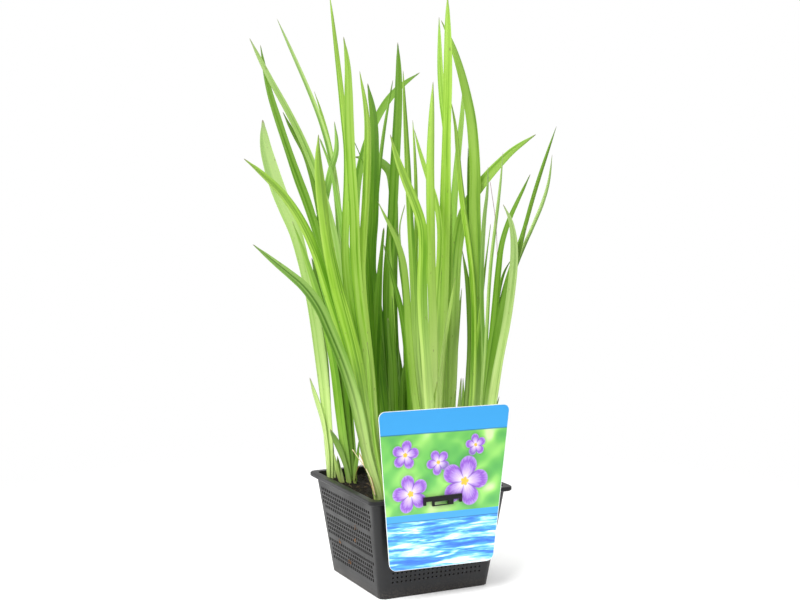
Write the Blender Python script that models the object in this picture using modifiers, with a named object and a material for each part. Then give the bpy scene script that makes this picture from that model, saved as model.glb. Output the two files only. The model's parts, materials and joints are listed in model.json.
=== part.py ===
"""Potted blue flag iris: a square pond basket of peat with ten shoots of sword leaves and a label.

The origin is the middle of the basket's underside and +Z is up. The wall with the label faces -Y.
Named sizes are metres. The tables of shoots and leaves are millimetres and are scaled by MM.
"""

import math
from collections import namedtuple

import bmesh
import bpy
import numpy as np
from mathutils import Vector
from mathutils.geometry import interpolate_bezier

MM = 0.001
GAP = 0.3 * MM

# Basket
RIM_SIDE = 98.0 * MM
RIM_HEIGHT = 64.2 * MM
RIM_WIDTH = 4.5 * MM
RIM_DROP = 2.7 * MM
LIP_OVERHANG = 3.0 * MM
BASE_SIDE = 75.0 * MM
WALL = 1.2 * MM
FLOOR = 1.5 * MM
CORNER_RADIUS = 4.5 * MM
CORNER_STEPS = 4

# Soil
SOIL_LEVEL = 58.5 * MM
SOIL_SWELL = 0.9 * MM
SOIL_CELLS = 12
SOIL_WAVES = (9.0 * MM, 11.0 * MM)
SOIL_FINE_WAVES = (4.3 * MM, 5.1 * MM)
SEAT_DEPTH = 8.0 * MM
POCKET_MARGIN = 0.8 * MM
POCKET_ROUNDING = 0.3

# Label card, and the clip that holds it on the rim
CARD_TOP_WIDTH = 88.2 * MM
CARD_FOOT_WIDTH = 69.8 * MM
CARD_HEIGHT = 97.6 * MM
CARD_FOOT_LEVEL = 20.6 * MM
CARD_THICKNESS = 0.5 * MM
CARD_CORNER = 4.5 * MM
CARD_STAND_OFF = 1.9 * MM
CARD_LEAN = math.radians(1.0)
CARD_ROLL = math.radians(0.6)
CARD_TURN = math.radians(-1.6)
CARD_PLACE = -2.6 * MM
CLIP_PLACE = -3.5 * MM
CLIP_LEVEL = 63.5 * MM
CLIP_BAR = (26.0 * MM, 1.4 * MM, 2.8 * MM)
CLIP_LIP = (1.6 * MM, 1.4 * MM, 5.0 * MM)
CLIP_FRAME = (14.2 * MM, 1.4 * MM, 3.1 * MM)
CLIP_WINDOW = (9.4 * MM, 2.1 * MM)
CLIP_WINDOW_SHIFT = -1.0 * MM
CLIP_STRAP = 8.0 * MM
CLIP_PLATE = 1.0 * MM
CLIP_TONGUE = 4.4 * MM
CLIP_SLOT_PLAY = 4 * GAP

# Leaves
LEAF_THICKNESS_SHARE = 0.155
LEAF_FOOT_SHARE = 0.78
LEAF_TIP_SHARE = 0.12
LEAF_TOP_SHARE = 0.8
TIP_REACH = 15.0 * MM
TIP_REACH_SHARE = 1 / 6
SWELL_SHARE = 0.3
TWIST_POWER = 1.5
TIP_STATIONS = np.array([30.0, 18.0, 9.0, 3.5, 0.0]) * MM
LAYER_PITCH = 1.65 * MM
NECK_HEIGHT = SEAT_DEPTH + 1 * MM
NECK_LEAN = 0.4 * MM
FULL_HEIGHT = 310.0 * MM
LEAN_POWER = 1.4
STATION_PITCH = 60.0 * MM
STATION_TURN = math.radians(11.0)
FEWEST_STATIONS = 4
MOST_STATIONS = 20
CURVE_STEPS = 12

# The leaf points below are read in the upright plane through the pot's middle that squarely faces
# a viewer at the near left corner. A leaf nearer or farther than that plane moves along the line of
# sight, so that it keeps its place in the view. VIEWER is across, toward the viewer and up.
VIEW_TURN = math.radians(25.9)
VIEWER = Vector((-5.6, 917.3, 270.9)) * MM
ACROSS = Vector((math.cos(VIEW_TURN), -math.sin(VIEW_TURN), 0))
NEARER = Vector((-math.sin(VIEW_TURN), -math.cos(VIEW_TURN), 0))
UP = Vector((0, 0, 1))

BLACK_PLASTIC = ("black_plastic", (0.020, 0.020, 0.022), 0.45)
PEAT = ("peat", (0.020, 0.013, 0.009), 0.95)
CARD = ("card", (0.15, 0.45, 0.80), 0.35)
LEAF_TONES = {
    "pale": ("leaf_pale", (0.50, 0.66, 0.20), 0.5),
    "fresh": ("leaf_fresh", (0.36, 0.62, 0.05), 0.45),
    "mid": ("leaf_mid", (0.26, 0.50, 0.05), 0.45),
    "deep": ("leaf_deep", (0.12, 0.29, 0.02), 0.5),
    "blue": ("leaf_blue", (0.19, 0.38, 0.10), 0.5),
}

# A shoot stands at x, y in the pot. Its fan is turned from the viewer's plane by an angle in degrees.
# A leaf sits along the fan (seat) and in front of or behind it (layer). It leans toward the viewer
# by lean at full height, its face twists by degrees from foot to tip, and its path goes from low to
# high. Within a shoot a leaf in a nearer layer also leans nearer, so that no two leaves cross.
Shoot = namedtuple("Shoot", "x y turn leaves")
Leaf = namedtuple("Leaf", "tone width seat layer lean twist path")

SHOOTS = {
    "back_left": Shoot(-38, 38, 24, [
        Leaf("pale", 6.7, -0.6, 0, -30, 25,
             [(-51, 92), (-54, 128), (-60, 172), (-70, 218), (-81, 246), (-89, 273), (-91, 291)]),
        Leaf("pale", 5.2, 0.9, -1, -44, -20,
             [(-50, 90), (-51.5, 115), (-53, 141), (-57, 170), (-61, 190), (-67, 212)]),
        Leaf("pale", 2.9, -0.8, 1, -10, 0,
             [(-52, 84), (-55.3, 105), (-58.5, 115), (-62.7, 129)]),
    ]),
    "left_sprout": Shoot(-33, 34.5, -20, [
        Leaf("deep", 3.6, 0, 0, 0, 10, [(-45.5, 79)]),
    ]),
    "left": Shoot(-29, 25.5, 22, [
        Leaf("blue", 5.8, -0.8, 1, 0, -20,
             [(-42.4, 96), (-44.6, 115), (-47.8, 139), (-53, 166), (-59, 188), (-66, 209), (-73, 228)]),
        Leaf("mid", 6.9, 0.2, 0, -14, 15,
             [(-40.2, 96), (-41.4, 115), (-44, 137), (-49, 159), (-55, 182), (-61, 205)]),
        Leaf("deep", 5.2, 1.2, -1, -26, 25,
             [(-37, 96), (-38.5, 115), (-41, 131), (-44.5, 148), (-48, 162), (-54, 183)]),
        Leaf("mid", 4.0, 0.2, 2, 20, 0,
             [(-41.5, 77), (-44.6, 85), (-50, 96)]),
    ]),
    "front": Shoot(-31, -20.5, -20, [
        Leaf("blue", 7.4, -1.2, 3, 56, 30,
             [(-26.4, 77), (-29, 90), (-34.5, 115), (-41, 136), (-49, 156), (-57, 174), (-67, 187.5),
              (-80, 198.5), (-98, 213.5)]),
        Leaf("mid", 6.5, -1.6, 1, 20, -25,
             [(-25.7, 84), (-30.8, 109), (-36.4, 134), (-42.7, 159), (-50.9, 185), (-59, 210),
              (-68, 229), (-79, 245), (-92, 258), (-103, 267)]),
        Leaf("fresh", 8.3, -0.6, 2, 36, 15,
             [(-24, 84), (-28, 109), (-32.5, 136), (-39.5, 165), (-44.6, 184), (-49, 204),
              (-52.2, 223), (-55, 248), (-56.6, 267), (-56.3, 282)]),
        Leaf("mid", 5.8, 0.4, -2, -6, 35,
             [(-23.9, 87), (-27.5, 115), (-31.5, 144), (-36.4, 172), (-39.6, 194), (-40.2, 216),
              (-39, 242), (-38.6, 267), (-41.5, 299), (-44, 324), (-49, 368)]),
        Leaf("mid", 6.3, 0.8, 0, 6, -20,
             [(-22.6, 87), (-25, 115), (-28, 148), (-31.6, 178), (-33.7, 204), (-34.4, 235),
              (-36, 260), (-37.3, 290), (-38, 324), (-40.5, 342)]),
        Leaf("fresh", 5.8, 1.6, -1, 0, 30,
             [(-21.3, 87), (-23, 115), (-25.6, 144), (-28.4, 176), (-29.4, 200), (-27.6, 229),
              (-26, 260), (-26, 292), (-30.6, 321)]),
        Leaf("pale", 3.2, 1.4, 4, 64, 0,
             [(-21.6, 90), (-23.6, 112), (-24.8, 130), (-26.4, 152)]),
    ]),
    "front_inner": Shoot(-26, -10, 14, [
        Leaf("mid", 4.7, -1.0, 2, -10, 20,
             [(-24.4, 80), (-28.5, 106), (-34, 140), (-39.6, 172), (-44, 200), (-48, 224),
              (-52.4, 240), (-61, 266), (-73, 292), (-87.4, 318.6), (-98.6, 341)]),
        Leaf("mid", 6.5, -1.8, 1, -16, -25,
             [(-25.6, 90), (-31, 118), (-40.2, 153), (-48.4, 178), (-54.4, 204), (-60, 228),
              (-69.3, 254), (-79, 283), (-87.4, 311), (-92, 337)]),
        Leaf("blue", 5.6, 0.2, 0, -22, 25,
             [(-25.6, 86), (-31, 112), (-39, 143), (-47.8, 169), (-54, 191), (-57, 210),
              (-56.6, 224), (-52.5, 242), (-48.6, 260), (-45, 274), (-46.4, 290)]),
        Leaf("mid", 4.3, 1.0, -1, -30, 30,
             [(-24.6, 96), (-29.6, 128), (-35, 158), (-40, 186), (-43, 212), (-45.4, 246),
              (-51.7, 280), (-62, 308.5), (-74, 336), (-81.6, 353)]),
        Leaf("deep", 3.4, 0.2, -2, -38, -20,
             [(-27, 109), (-35.8, 147), (-44.6, 178), (-52.2, 210), (-57, 240), (-64, 268),
              (-73.6, 286), (-78.5, 296)]),
        Leaf("deep", 3.8, 2.2, 3, 8, -15,
             [(-19.6, 80), (-21, 104), (-22.4, 122), (-24, 139)]),
        Leaf("deep", 2.9, 2.0, -3, -46, 15,
             [(-27, 121), (-33.6, 155), (-39, 190), (-42.4, 222), (-45, 250), (-50, 278),
              (-55, 297), (-58.8, 308.5)]),
    ]),
    "back": Shoot(9, 28, 30, [
        Leaf("deep", 7.2, -1.8, 2, -16, 20,
             [(-12, 86), (-16.5, 115), (-19.6, 142), (-22, 166), (-23.4, 186), (-23.8, 207),
              (-22.3, 229), (-21.5, 262), (-22, 292), (-25.7, 313.5)]),
        Leaf("deep", 4.3, -0.8, 0, -42, -30,
             [(-12, 115), (-14.6, 144), (-17.4, 166), (-20.4, 186), (-22.4, 204), (-21, 222),
              (-19.6, 246), (-16.4, 277), (-13, 299), (-10, 315.5)]),
        Leaf("deep", 6.0, 0.4, 1, -26, 30,
             [(-9, 112), (-11.3, 134), (-13, 158), (-13.4, 180), (-12.4, 204), (-10.6, 226),
              (-9, 258), (-7, 294), (-6.4, 318), (-7, 338.5)]),
        Leaf("mid", 6.0, -1.0, -1, -62, -20,
             [(-10, 96), (-17, 131), (-24, 166), (-30, 198), (-33, 229), (-32, 250), (-28.6, 268),
              (-21.5, 288), (-11.5, 305), (-2.5, 313.5), (6.7, 320)]),
        Leaf("deep", 3.4, 0.8, -2, -80, 0,
             [(-5, 115), (-8, 153), (-9, 191), (-9.6, 229), (-10.6, 250), (-14, 262), (-22, 266.5),
              (-34, 268)]),
        Leaf("deep", 4.7, 2.2, 3, 20, 0,
             [(-5, 90), (-5.2, 112), (-5, 130), (-6.7, 150)]),
    ]),
    "middle": Shoot(4.5, -19, -26, [
        Leaf("blue", 5.2, -2.6, 2, 14, 25,
             [(7.4, 90), (3.8, 115), (1, 139), (-0.8, 162), (-1.6, 182), (-4, 204), (-9, 219),
              (-14, 229), (-19.6, 240.5)]),
        Leaf("mid", 5.2, -1.2, 0, -4, 20,
             [(9.6, 90), (6.8, 118), (4.6, 142), (3.6, 168), (2.8, 192), (1.2, 218), (-0.6, 254),
              (-1.8, 280), (-3, 304), (-3.7, 321.5)]),
        Leaf("fresh", 6.0, 1.0, 3, 26, -25,
             [(14, 90), (12.4, 115), (10.6, 142), (8.8, 168), (8.3, 190), (8.8, 212), (7.6, 228),
              (2.6, 242), (-4, 258), (-8.6, 271), (-11.7, 282)]),
        Leaf("fresh", 3.6, 0.4, -1, -12, 30,
             [(11, 104), (7.8, 134), (5.4, 162), (4.2, 190), (4.4, 222), (4.2, 252), (3.2, 276),
              (2.3, 291)]),
        Leaf("deep", 3.8, 2.4, -2, -22, -20,
             [(15.2, 104), (15.6, 140), (17, 178), (19, 206), (19, 226), (16.6, 241), (11.6, 256),
              (6.6, 272), (3.2, 285)]),
        Leaf("fresh", 5.4, 2.6, 1, 6, -15,
             [(16.4, 90), (15.9, 122), (15.4, 156), (14.4, 190), (13.7, 228), (13.3, 262),
              (14, 292), (14.9, 314.5)]),
        Leaf("deep", 3.4, 0.2, -3, -30, 0,
             [(10, 96), (7.6, 134), (6.8, 158), (6.2, 181)]),
    ]),
    "right": Shoot(27, 1, 24, [
        Leaf("fresh", 6.7, -1.2, 1, 2, 20,
             [(20.6, 90), (20.3, 120), (20.6, 152), (21.6, 186), (22.3, 220), (23, 256),
              (23.6, 292), (24.2, 326), (23.9, 348), (23.7, 367.5)]),
        Leaf("mid", 4.7, 0.0, 0, -14, -25,
             [(23.6, 96), (24, 134), (25, 172), (25.4, 206), (24.8, 236), (24, 262), (22.4, 290),
              (19.9, 311), (19, 334), (18.5, 354)]),
        Leaf("fresh", 6.9, 1.0, -1, -57, 25,
             [(25.6, 90), (26.8, 122), (27.8, 156), (28.7, 184), (30, 208), (33.6, 230),
              (40.6, 245), (50, 257), (64, 271.5), (79, 282)]),
        Leaf("mid", 4.0, 0.8, -2, -70, -20,
             [(24.8, 100), (25.6, 140), (26, 184), (27.2, 222), (28.6, 250), (31, 276), (33, 296),
              (33.4, 310)]),
        Leaf("blue", 4.0, -1.6, 2, 12, -25,
             [(19.6, 96), (20, 120), (21.6, 144), (24.4, 165), (27, 180), (29, 192.5)]),
        Leaf("deep", 2.9, 1.4, -3, -80, 0,
             [(26.6, 96), (28.4, 126), (30.4, 154), (32, 173), (33.3, 186)]),
    ]),
    "far_right": Shoot(36.4, -3.5, -26, [
        Leaf("mid", 7.8, 0.8, 0, -22, -25,
             [(39.8, 90), (42, 115), (43, 148), (43, 180), (42, 208), (41.2, 236), (41.2, 260),
              (39, 289), (35.4, 308), (29.6, 329), (25, 341), (19.8, 352)]),
        Leaf("fresh", 4.9, 0.8, 2, -12, 25,
             [(38.4, 90), (40.4, 118), (41.4, 150), (41.2, 178), (39.6, 200), (36.6, 222),
              (33.2, 244), (31, 266), (28.8, 288), (25.9, 303)]),
        Leaf("deep", 5.6, -0.6, 1, -6, 20,
             [(36, 90), (37.4, 114), (38.6, 140), (38.4, 164), (36.8, 188), (33.4, 210)]),
        Leaf("deep", 3.1, -0.4, -1, -24, 0,
             [(35.4, 104), (38, 146), (39, 186), (38, 224), (37.2, 252), (36.8, 274)]),
        Leaf("deep", 3.1, 2.4, -2, -40, 10,
             [(43.4, 96), (44.8, 130), (44.4, 156), (45.4, 176), (47.2, 196)]),
        Leaf("mid", 3.6, -0.8, -3, -50, 0,
             [(33.6, 92), (34.5, 112), (34.3, 129)]),
    ]),
    "right_corner": Shoot(37.5, -27, 26, [
        Leaf("pale", 5.4, 2.0, 3, 36, 25,
             [(49.6, 87), (53.2, 115), (57, 140), (61.2, 162), (64.4, 185), (66, 204), (65.6, 218),
              (63, 230), (58.8, 238.5)]),
        Leaf("fresh", 4.7, 1.2, 0, 2, -20,
             [(49, 106), (51.4, 140), (53.9, 168), (56.6, 200), (59.6, 220), (65, 234), (71, 247),
              (75.8, 257.5)]),
        Leaf("deep", 2.7, 1.4, -1, -8, 20,
             [(49, 116), (52.6, 146), (58, 177), (64.6, 200), (72, 222.5), (79, 248), (86, 270),
              (91.7, 287)]),
        Leaf("mid", 2.9, 1.8, 1, 14, -10,
             [(50.6, 120), (54.6, 150), (61, 182), (69, 205), (78, 226), (85.4, 245), (88, 258),
              (89.2, 269.5)]),
        Leaf("deep", 4.7, 0.6, 2, 24, 20,
             [(49.6, 112), (53, 138), (57.3, 166), (62.4, 188), (67.4, 205), (71, 216.5),
              (74, 225.6)]),
        Leaf("deep", 4.0, -0.2, -2, -20, -25,
             [(48.4, 112), (50.6, 146), (54.4, 171), (58, 190), (61, 198.5), (64.8, 204.5)]),
        Leaf("mid", 2.5, -0.8, -3, -32, 0,
             [(47.4, 112), (49.2, 160), (51.4, 200), (55, 232), (57.4, 255), (58.5, 271)]),
        Leaf("pale", 3.2, -2.0, -4, -44, 15,
             [(46.4, 104), (47.4, 140), (46, 172), (45.7, 198), (47, 228), (49, 248), (49.3, 262)]),
    ]),
}


def clear_scene():
    for obj in list(bpy.data.objects):
        bpy.data.objects.remove(obj, do_unlink=True)


def new_collection(name):
    collection = bpy.data.collections.new(name)
    bpy.context.scene.collection.children.link(collection)
    return collection


def plain_material(name, colour, roughness):
    """Return the material of that name, made on its first use."""
    material = bpy.data.materials.get(name)
    if material is None:
        material = bpy.data.materials.new(name)
        material.use_nodes = True
        shader = material.node_tree.nodes["Principled BSDF"]
        shader.inputs["Base Color"].default_value = (*colour, 1)
        shader.inputs["Roughness"].default_value = roughness
        shader.inputs["Metallic"].default_value = 0.0
        material.diffuse_color = (*colour, 1)
    return material


def mesh_object(name, bm, collection, material=None):
    mesh = bpy.data.meshes.new(name)
    bm.to_mesh(mesh)
    bm.free()
    obj = bpy.data.objects.new(name, mesh)
    collection.objects.link(obj)
    if material:
        mesh.materials.append(plain_material(*material))
    return obj


def hide_guide(obj):
    obj.hide_render = True
    obj.display_type = "WIRE"
    return obj


def add_boolean(obj, cutter, operation):
    modifier = obj.modifiers.new(cutter.name, "BOOLEAN")
    modifier.operation = operation
    modifier.object = cutter


def box(name, size, centre, collection, material=None):
    bm = bmesh.new()
    bmesh.ops.create_cube(bm, size=1)
    bmesh.ops.scale(bm, vec=size, verts=bm.verts)
    bmesh.ops.translate(bm, vec=centre, verts=bm.verts)
    return mesh_object(name, bm, collection, material)


def square_block(name, foot_half, top_half, low, high, radius, collection, material=None):
    """Make a square block that widens upward, with its four upright edges rounded."""
    bm = bmesh.new()
    bmesh.ops.create_cube(bm, size=2)
    upright = [edge for edge in bm.edges if abs(edge.verts[0].co.z - edge.verts[1].co.z) > 1]
    for vert in bm.verts:
        half = top_half if vert.co.z > 0 else foot_half
        level = high if vert.co.z > 0 else low
        vert.co = Vector((vert.co.x * half, vert.co.y * half, level))
    bmesh.ops.bevel(bm, geom=upright, offset=radius, segments=CORNER_STEPS, profile=0.5,
                    affect="EDGES")
    return mesh_object(name, bm, collection, material)


def wall_half(level, inset=0.0):
    """Return half the basket's side at a level, measured to the outside of the wall less inset."""
    foot = BASE_SIDE / 2
    top = RIM_SIDE / 2 - LIP_OVERHANG
    return foot + (top - foot) * level / RIM_HEIGHT - inset


def make_pot(parts, cutters):
    rim_level = RIM_HEIGHT - RIM_DROP
    pot = square_block("pot", wall_half(0), wall_half(rim_level), 0, rim_level, CORNER_RADIUS,
                       parts, BLACK_PLASTIC)
    rim_half = RIM_SIDE / 2
    rim = square_block("rim_band", rim_half, rim_half, rim_level - RIM_DROP / 2, RIM_HEIGHT,
                       CORNER_RADIUS, cutters)
    spare = 2 * MM
    inside = square_block("pot_inside", wall_half(FLOOR, WALL), wall_half(RIM_HEIGHT + spare, WALL),
                          FLOOR, RIM_HEIGHT + spare, CORNER_RADIUS - WALL, cutters)
    add_boolean(pot, hide_guide(rim), "UNION")
    add_boolean(pot, hide_guide(inside), "DIFFERENCE")
    return pot


def soil_height(x, y):
    """Return the level of the peat, heaped a little along its back and left sides."""
    ripple = math.sin(x / SOIL_WAVES[0] + 0.6) * math.cos(y / SOIL_WAVES[1] - 0.4)
    fine = math.sin(x / SOIL_FINE_WAVES[0] + 2) * math.sin(y / SOIL_FINE_WAVES[1] + 1)
    heap = (y - x) / RIM_SIDE
    return SOIL_LEVEL + SOIL_SWELL * (ripple + fine / 2 + heap)


def make_soil(parts, cutters):
    low = FLOOR + GAP
    inset = WALL + GAP
    high = SOIL_LEVEL + 4 * SOIL_SWELL
    soil = square_block("soil", wall_half(low, inset), wall_half(high, inset), low, high,
                        CORNER_RADIUS - WALL, parts, PEAT)
    bm = bmesh.new()
    bmesh.ops.create_grid(bm, x_segments=SOIL_CELLS, y_segments=SOIL_CELLS, size=RIM_SIDE / 2)
    for vert in bm.verts:
        vert.co.z = soil_height(vert.co.x, vert.co.y)
    raised = bmesh.ops.extrude_face_region(bm, geom=bm.faces)
    for vert in raised["geom"]:
        if isinstance(vert, bmesh.types.BMVert):
            vert.co.z = RIM_HEIGHT + RIM_DROP
    bmesh.ops.recalc_face_normals(bm, faces=bm.faces)
    air = mesh_object("air_over_soil", bm, cutters)
    add_boolean(soil, hide_guide(air), "DIFFERENCE")
    for name, shoot in SHOOTS.items():
        add_boolean(soil, make_pocket(name, shoot, cutters), "DIFFERENCE")
    return soil


def fan_axes(shoot):
    """Return the direction along a shoot's fan and the one square to it, toward the viewer."""
    turn = math.radians(shoot.turn)
    along = ACROSS * math.cos(turn) + NEARER * math.sin(turn)
    return along, along.cross(UP)


def blade_width(shoot, leaf):
    """Return a leaf's widest, from its seen width and the turn of its fan."""
    return leaf.width * MM / math.cos(math.radians(shoot.turn))


def make_pocket(name, shoot, cutters):
    """Make the cutter for the hollow in the peat that a shoot's feet stand in."""
    along, out = fan_axes(shoot)
    ends = [leaf.seat * MM + side * blade_width(shoot, leaf) * LEAF_FOOT_SHARE / 2
            for leaf in shoot.leaves for side in (-1, 1)]
    layers = [leaf.layer for leaf in shoot.leaves]
    thickest = max(blade_width(shoot, leaf) for leaf in shoot.leaves) * LEAF_THICKNESS_SHARE
    half_length = (max(ends) - min(ends)) / 2 + POCKET_MARGIN
    half_width = (max(layers) - min(layers)) * LAYER_PITCH / 2 + thickest / 2 + POCKET_MARGIN
    centre = Vector((shoot.x, shoot.y, 0)) * MM
    centre += along * (max(ends) + min(ends)) / 2
    centre += out * (max(layers) + min(layers)) * LAYER_PITCH / 2
    top = RIM_HEIGHT + 2 * RIM_DROP
    low = SOIL_LEVEL - SEAT_DEPTH - GAP
    bm = bmesh.new()
    bmesh.ops.create_cube(bm, size=2)
    upright = [edge for edge in bm.edges if abs(edge.verts[0].co.z - edge.verts[1].co.z) > 1]
    for vert in bm.verts:
        spot = centre + along * vert.co.x * half_length + out * vert.co.y * half_width
        spot.z = top if vert.co.z > 0 else low
        vert.co = spot
    bmesh.ops.bevel(bm, geom=upright, offset=min(half_length, half_width) * POCKET_ROUNDING, segments=2,
                    profile=0.5, affect="EDGES")
    bmesh.ops.recalc_face_normals(bm, faces=bm.faces)
    return hide_guide(mesh_object(name + "_pocket", bm, cutters))


def card_front():
    """Return the y of the middle of the card's back face at its lower edge."""
    return -RIM_SIDE / 2 - CARD_STAND_OFF


def make_card(parts, cutters):
    """Make the label as a flat outline that leans out at the top and hangs a little askew."""
    corners = [(-CARD_FOOT_WIDTH / 2, 0), (CARD_FOOT_WIDTH / 2, 0),
               (CARD_TOP_WIDTH / 2, CARD_HEIGHT), (-CARD_TOP_WIDTH / 2, CARD_HEIGHT)]
    bm = bmesh.new()
    face = bm.faces.new([bm.verts.new((x, 0, z)) for x, z in corners])
    bmesh.ops.bevel(bm, geom=face.verts[:], offset=CARD_CORNER, segments=CORNER_STEPS + 1,
                    profile=0.5, affect="VERTICES")
    card = mesh_object("label_card", bm, parts, CARD)
    card.location = (CARD_PLACE, card_front(), CARD_FOOT_LEVEL)
    card.rotation_euler = (CARD_LEAN, CARD_ROLL, CARD_TURN)
    thickness = card.modifiers.new("thickness", "SOLIDIFY")
    thickness.thickness = CARD_THICKNESS
    thickness.offset = 1
    through = 4 * CARD_STAND_OFF
    slot = box("card_slot", (CLIP_TONGUE + CLIP_SLOT_PLAY, through, CLIP_PLATE + CLIP_SLOT_PLAY),
               (CLIP_PLACE, card_front(), CLIP_LEVEL), cutters)
    add_boolean(card, hide_guide(slot), "DIFFERENCE")
    return card


def make_clip(parts, cutters):
    """Make the clip: a bar and a window frame before the card, a tongue through it and a hook."""
    lean = math.sin(CARD_LEAN) * (CLIP_LEVEL - CARD_FOOT_LEVEL)
    front = card_front() - lean - CARD_THICKNESS - 2 * GAP
    middle = front - CLIP_BAR[1] / 2
    clip = box("label_clip", CLIP_BAR, (CLIP_PLACE, middle, CLIP_LEVEL), parts, BLACK_PLASTIC)
    lip_x = (CLIP_BAR[0] - CLIP_LIP[0]) / 2
    lip_z = CLIP_LEVEL + (CLIP_BAR[2] - CLIP_LIP[2]) / 2
    frame_z = CLIP_LEVEL - (CLIP_BAR[2] + CLIP_FRAME[2]) / 2
    rim_back = -RIM_SIDE / 2 + RIM_WIDTH
    rise = -RIM_SIDE / 2 - GAP - CLIP_PLATE / 2
    over = RIM_HEIGHT + GAP + CLIP_PLATE / 2
    inner = rim_back + WALL + GAP + CLIP_PLATE / 2
    overlap = 0.2 * MM
    pieces = {
        "left_lip": (CLIP_LIP, (CLIP_PLACE - lip_x, middle, lip_z)),
        "right_lip": (CLIP_LIP, (CLIP_PLACE + lip_x, middle, lip_z)),
        "frame": ((CLIP_FRAME[0], CLIP_FRAME[1], CLIP_FRAME[2] + overlap),
                  (CLIP_PLACE, middle, frame_z + overlap / 2)),
        "tongue": ((CLIP_TONGUE, rise - middle, CLIP_PLATE),
                   (CLIP_PLACE, (rise + middle) / 2, CLIP_LEVEL)),
        "riser": ((CLIP_STRAP, CLIP_PLATE, over - CLIP_LEVEL + CLIP_PLATE),
                  (CLIP_PLACE, rise, (over + CLIP_LEVEL) / 2)),
        "bridge": ((CLIP_STRAP, inner - rise, CLIP_PLATE),
                   (CLIP_PLACE, (inner + rise) / 2, over)),
        "hook": ((CLIP_STRAP, CLIP_PLATE, RIM_DROP + CLIP_PLATE),
                 (CLIP_PLACE, inner, over - RIM_DROP / 2)),
    }
    for name, (size, centre) in pieces.items():
        add_boolean(clip, hide_guide(box("clip_" + name, size, centre, cutters)), "UNION")
    window = box("clip_window", (CLIP_WINDOW[0], 3 * CLIP_FRAME[1], CLIP_WINDOW[1]),
                 (CLIP_PLACE + CLIP_WINDOW_SHIFT, middle, frame_z), cutters)
    add_boolean(clip, hide_guide(window), "DIFFERENCE")
    return clip


def sight_point(across, level, nearer):
    """Return the point at a depth toward the viewer that is seen at a place in the middle plane."""
    share = nearer / VIEWER.y
    across += (VIEWER.x - across) * share
    level += (VIEWER.z - level) * share
    return ACROSS * across + NEARER * nearer + UP * level


def smooth_line(points):
    """Return close points along a smooth curve through the given ones."""
    ends = [points[0] * 2 - points[1], *points, points[-1] * 2 - points[-2]]
    line = []
    for before, start, end, after in zip(ends, ends[1:], ends[2:], ends[3:]):
        reach = (end - start).length / 3
        leave = start + (end - before).normalized() * reach
        arrive = end - (after - start).normalized() * reach
        line += interpolate_bezier(start, leave, arrive, end, CURVE_STEPS)[:-1]
    return line + [points[-1]]


def place_stations(line):
    """Return stations along a line, and how far along each is. Bends and the tip have more."""
    steps = [end - start for start, end in zip(line, line[1:])]
    bend = sum(first.angle(second) for first, second in zip(steps, steps[1:]))
    travelled = np.concatenate([[0], np.cumsum([step.length for step in steps])])
    length = travelled[-1]
    count = round(FEWEST_STATIONS + length / STATION_PITCH + bend / STATION_TURN)
    tip = min(1.0, length / 2 / TIP_STATIONS[0])
    marks = np.concatenate([
        [0],
        np.linspace(NECK_HEIGHT, length - TIP_STATIONS[0] * tip, min(count, MOST_STATIONS),
                    endpoint=False),
        length - TIP_STATIONS * tip,
    ])
    columns = [np.interp(marks, travelled, [point[axis] for point in line]) for axis in range(3)]
    return [Vector(point) for point in zip(*columns)], marks


def leaf_line(shoot, leaf):
    """Return the stations of a leaf's middle line, from its foot in the peat to its tip."""
    along, out = fan_axes(shoot)
    foot = Vector((shoot.x, shoot.y, 0)) * MM
    foot += along * leaf.seat * MM + out * leaf.layer * LAYER_PITCH
    foot.z = SOIL_LEVEL - SEAT_DEPTH
    neck = foot + UP * NECK_HEIGHT + along * NECK_LEAN
    spread = math.tan(math.radians(shoot.turn))
    points = [foot, neck]
    for across, level in leaf.path:
        climb = (level * MM - neck.z) / FULL_HEIGHT
        nearer = foot.dot(NEARER) + leaf.lean * MM * climb ** LEAN_POWER
        nearer += spread * (across * MM - foot.dot(ACROSS))
        points.append(sight_point(across * MM, level * MM, nearer))
    return place_stations(smooth_line(points))


def blade_share(mark, length):
    """Return a blade's width at a distance from its foot, as a share of its widest."""
    place = mark / length
    swell = min(1.0, place / SWELL_SHARE)
    share = LEAF_FOOT_SHARE + (1 - LEAF_FOOT_SHARE) * math.sin(swell * math.pi / 2)
    share *= 1 - (1 - LEAF_TOP_SHARE) * place ** 2
    share *= 1 - math.exp(-(length - mark) / min(TIP_REACH, length * TIP_REACH_SHARE))
    return max(share, LEAF_TIP_SHARE)


def make_section(cutters):
    """Make the blade's cross-section, one unit wide on each side of its raised middle line."""
    curve = bpy.data.curves.new("blade_section", "CURVE")
    curve.dimensions = "2D"
    curve.fill_mode = "NONE"
    curve.resolution_u = 1
    outline = [(-1, 0), (0, LEAF_THICKNESS_SHARE), (1, 0), (0, -LEAF_THICKNESS_SHARE)]
    spline = curve.splines.new("POLY")
    spline.points.add(len(outline) - 1)
    for point, (x, y) in zip(spline.points, outline):
        point.co = (x, y, 0, 1)
    spline.use_cyclic_u = True
    section = bpy.data.objects.new("blade_section", curve)
    cutters.objects.link(section)
    return hide_guide(section)


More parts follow.
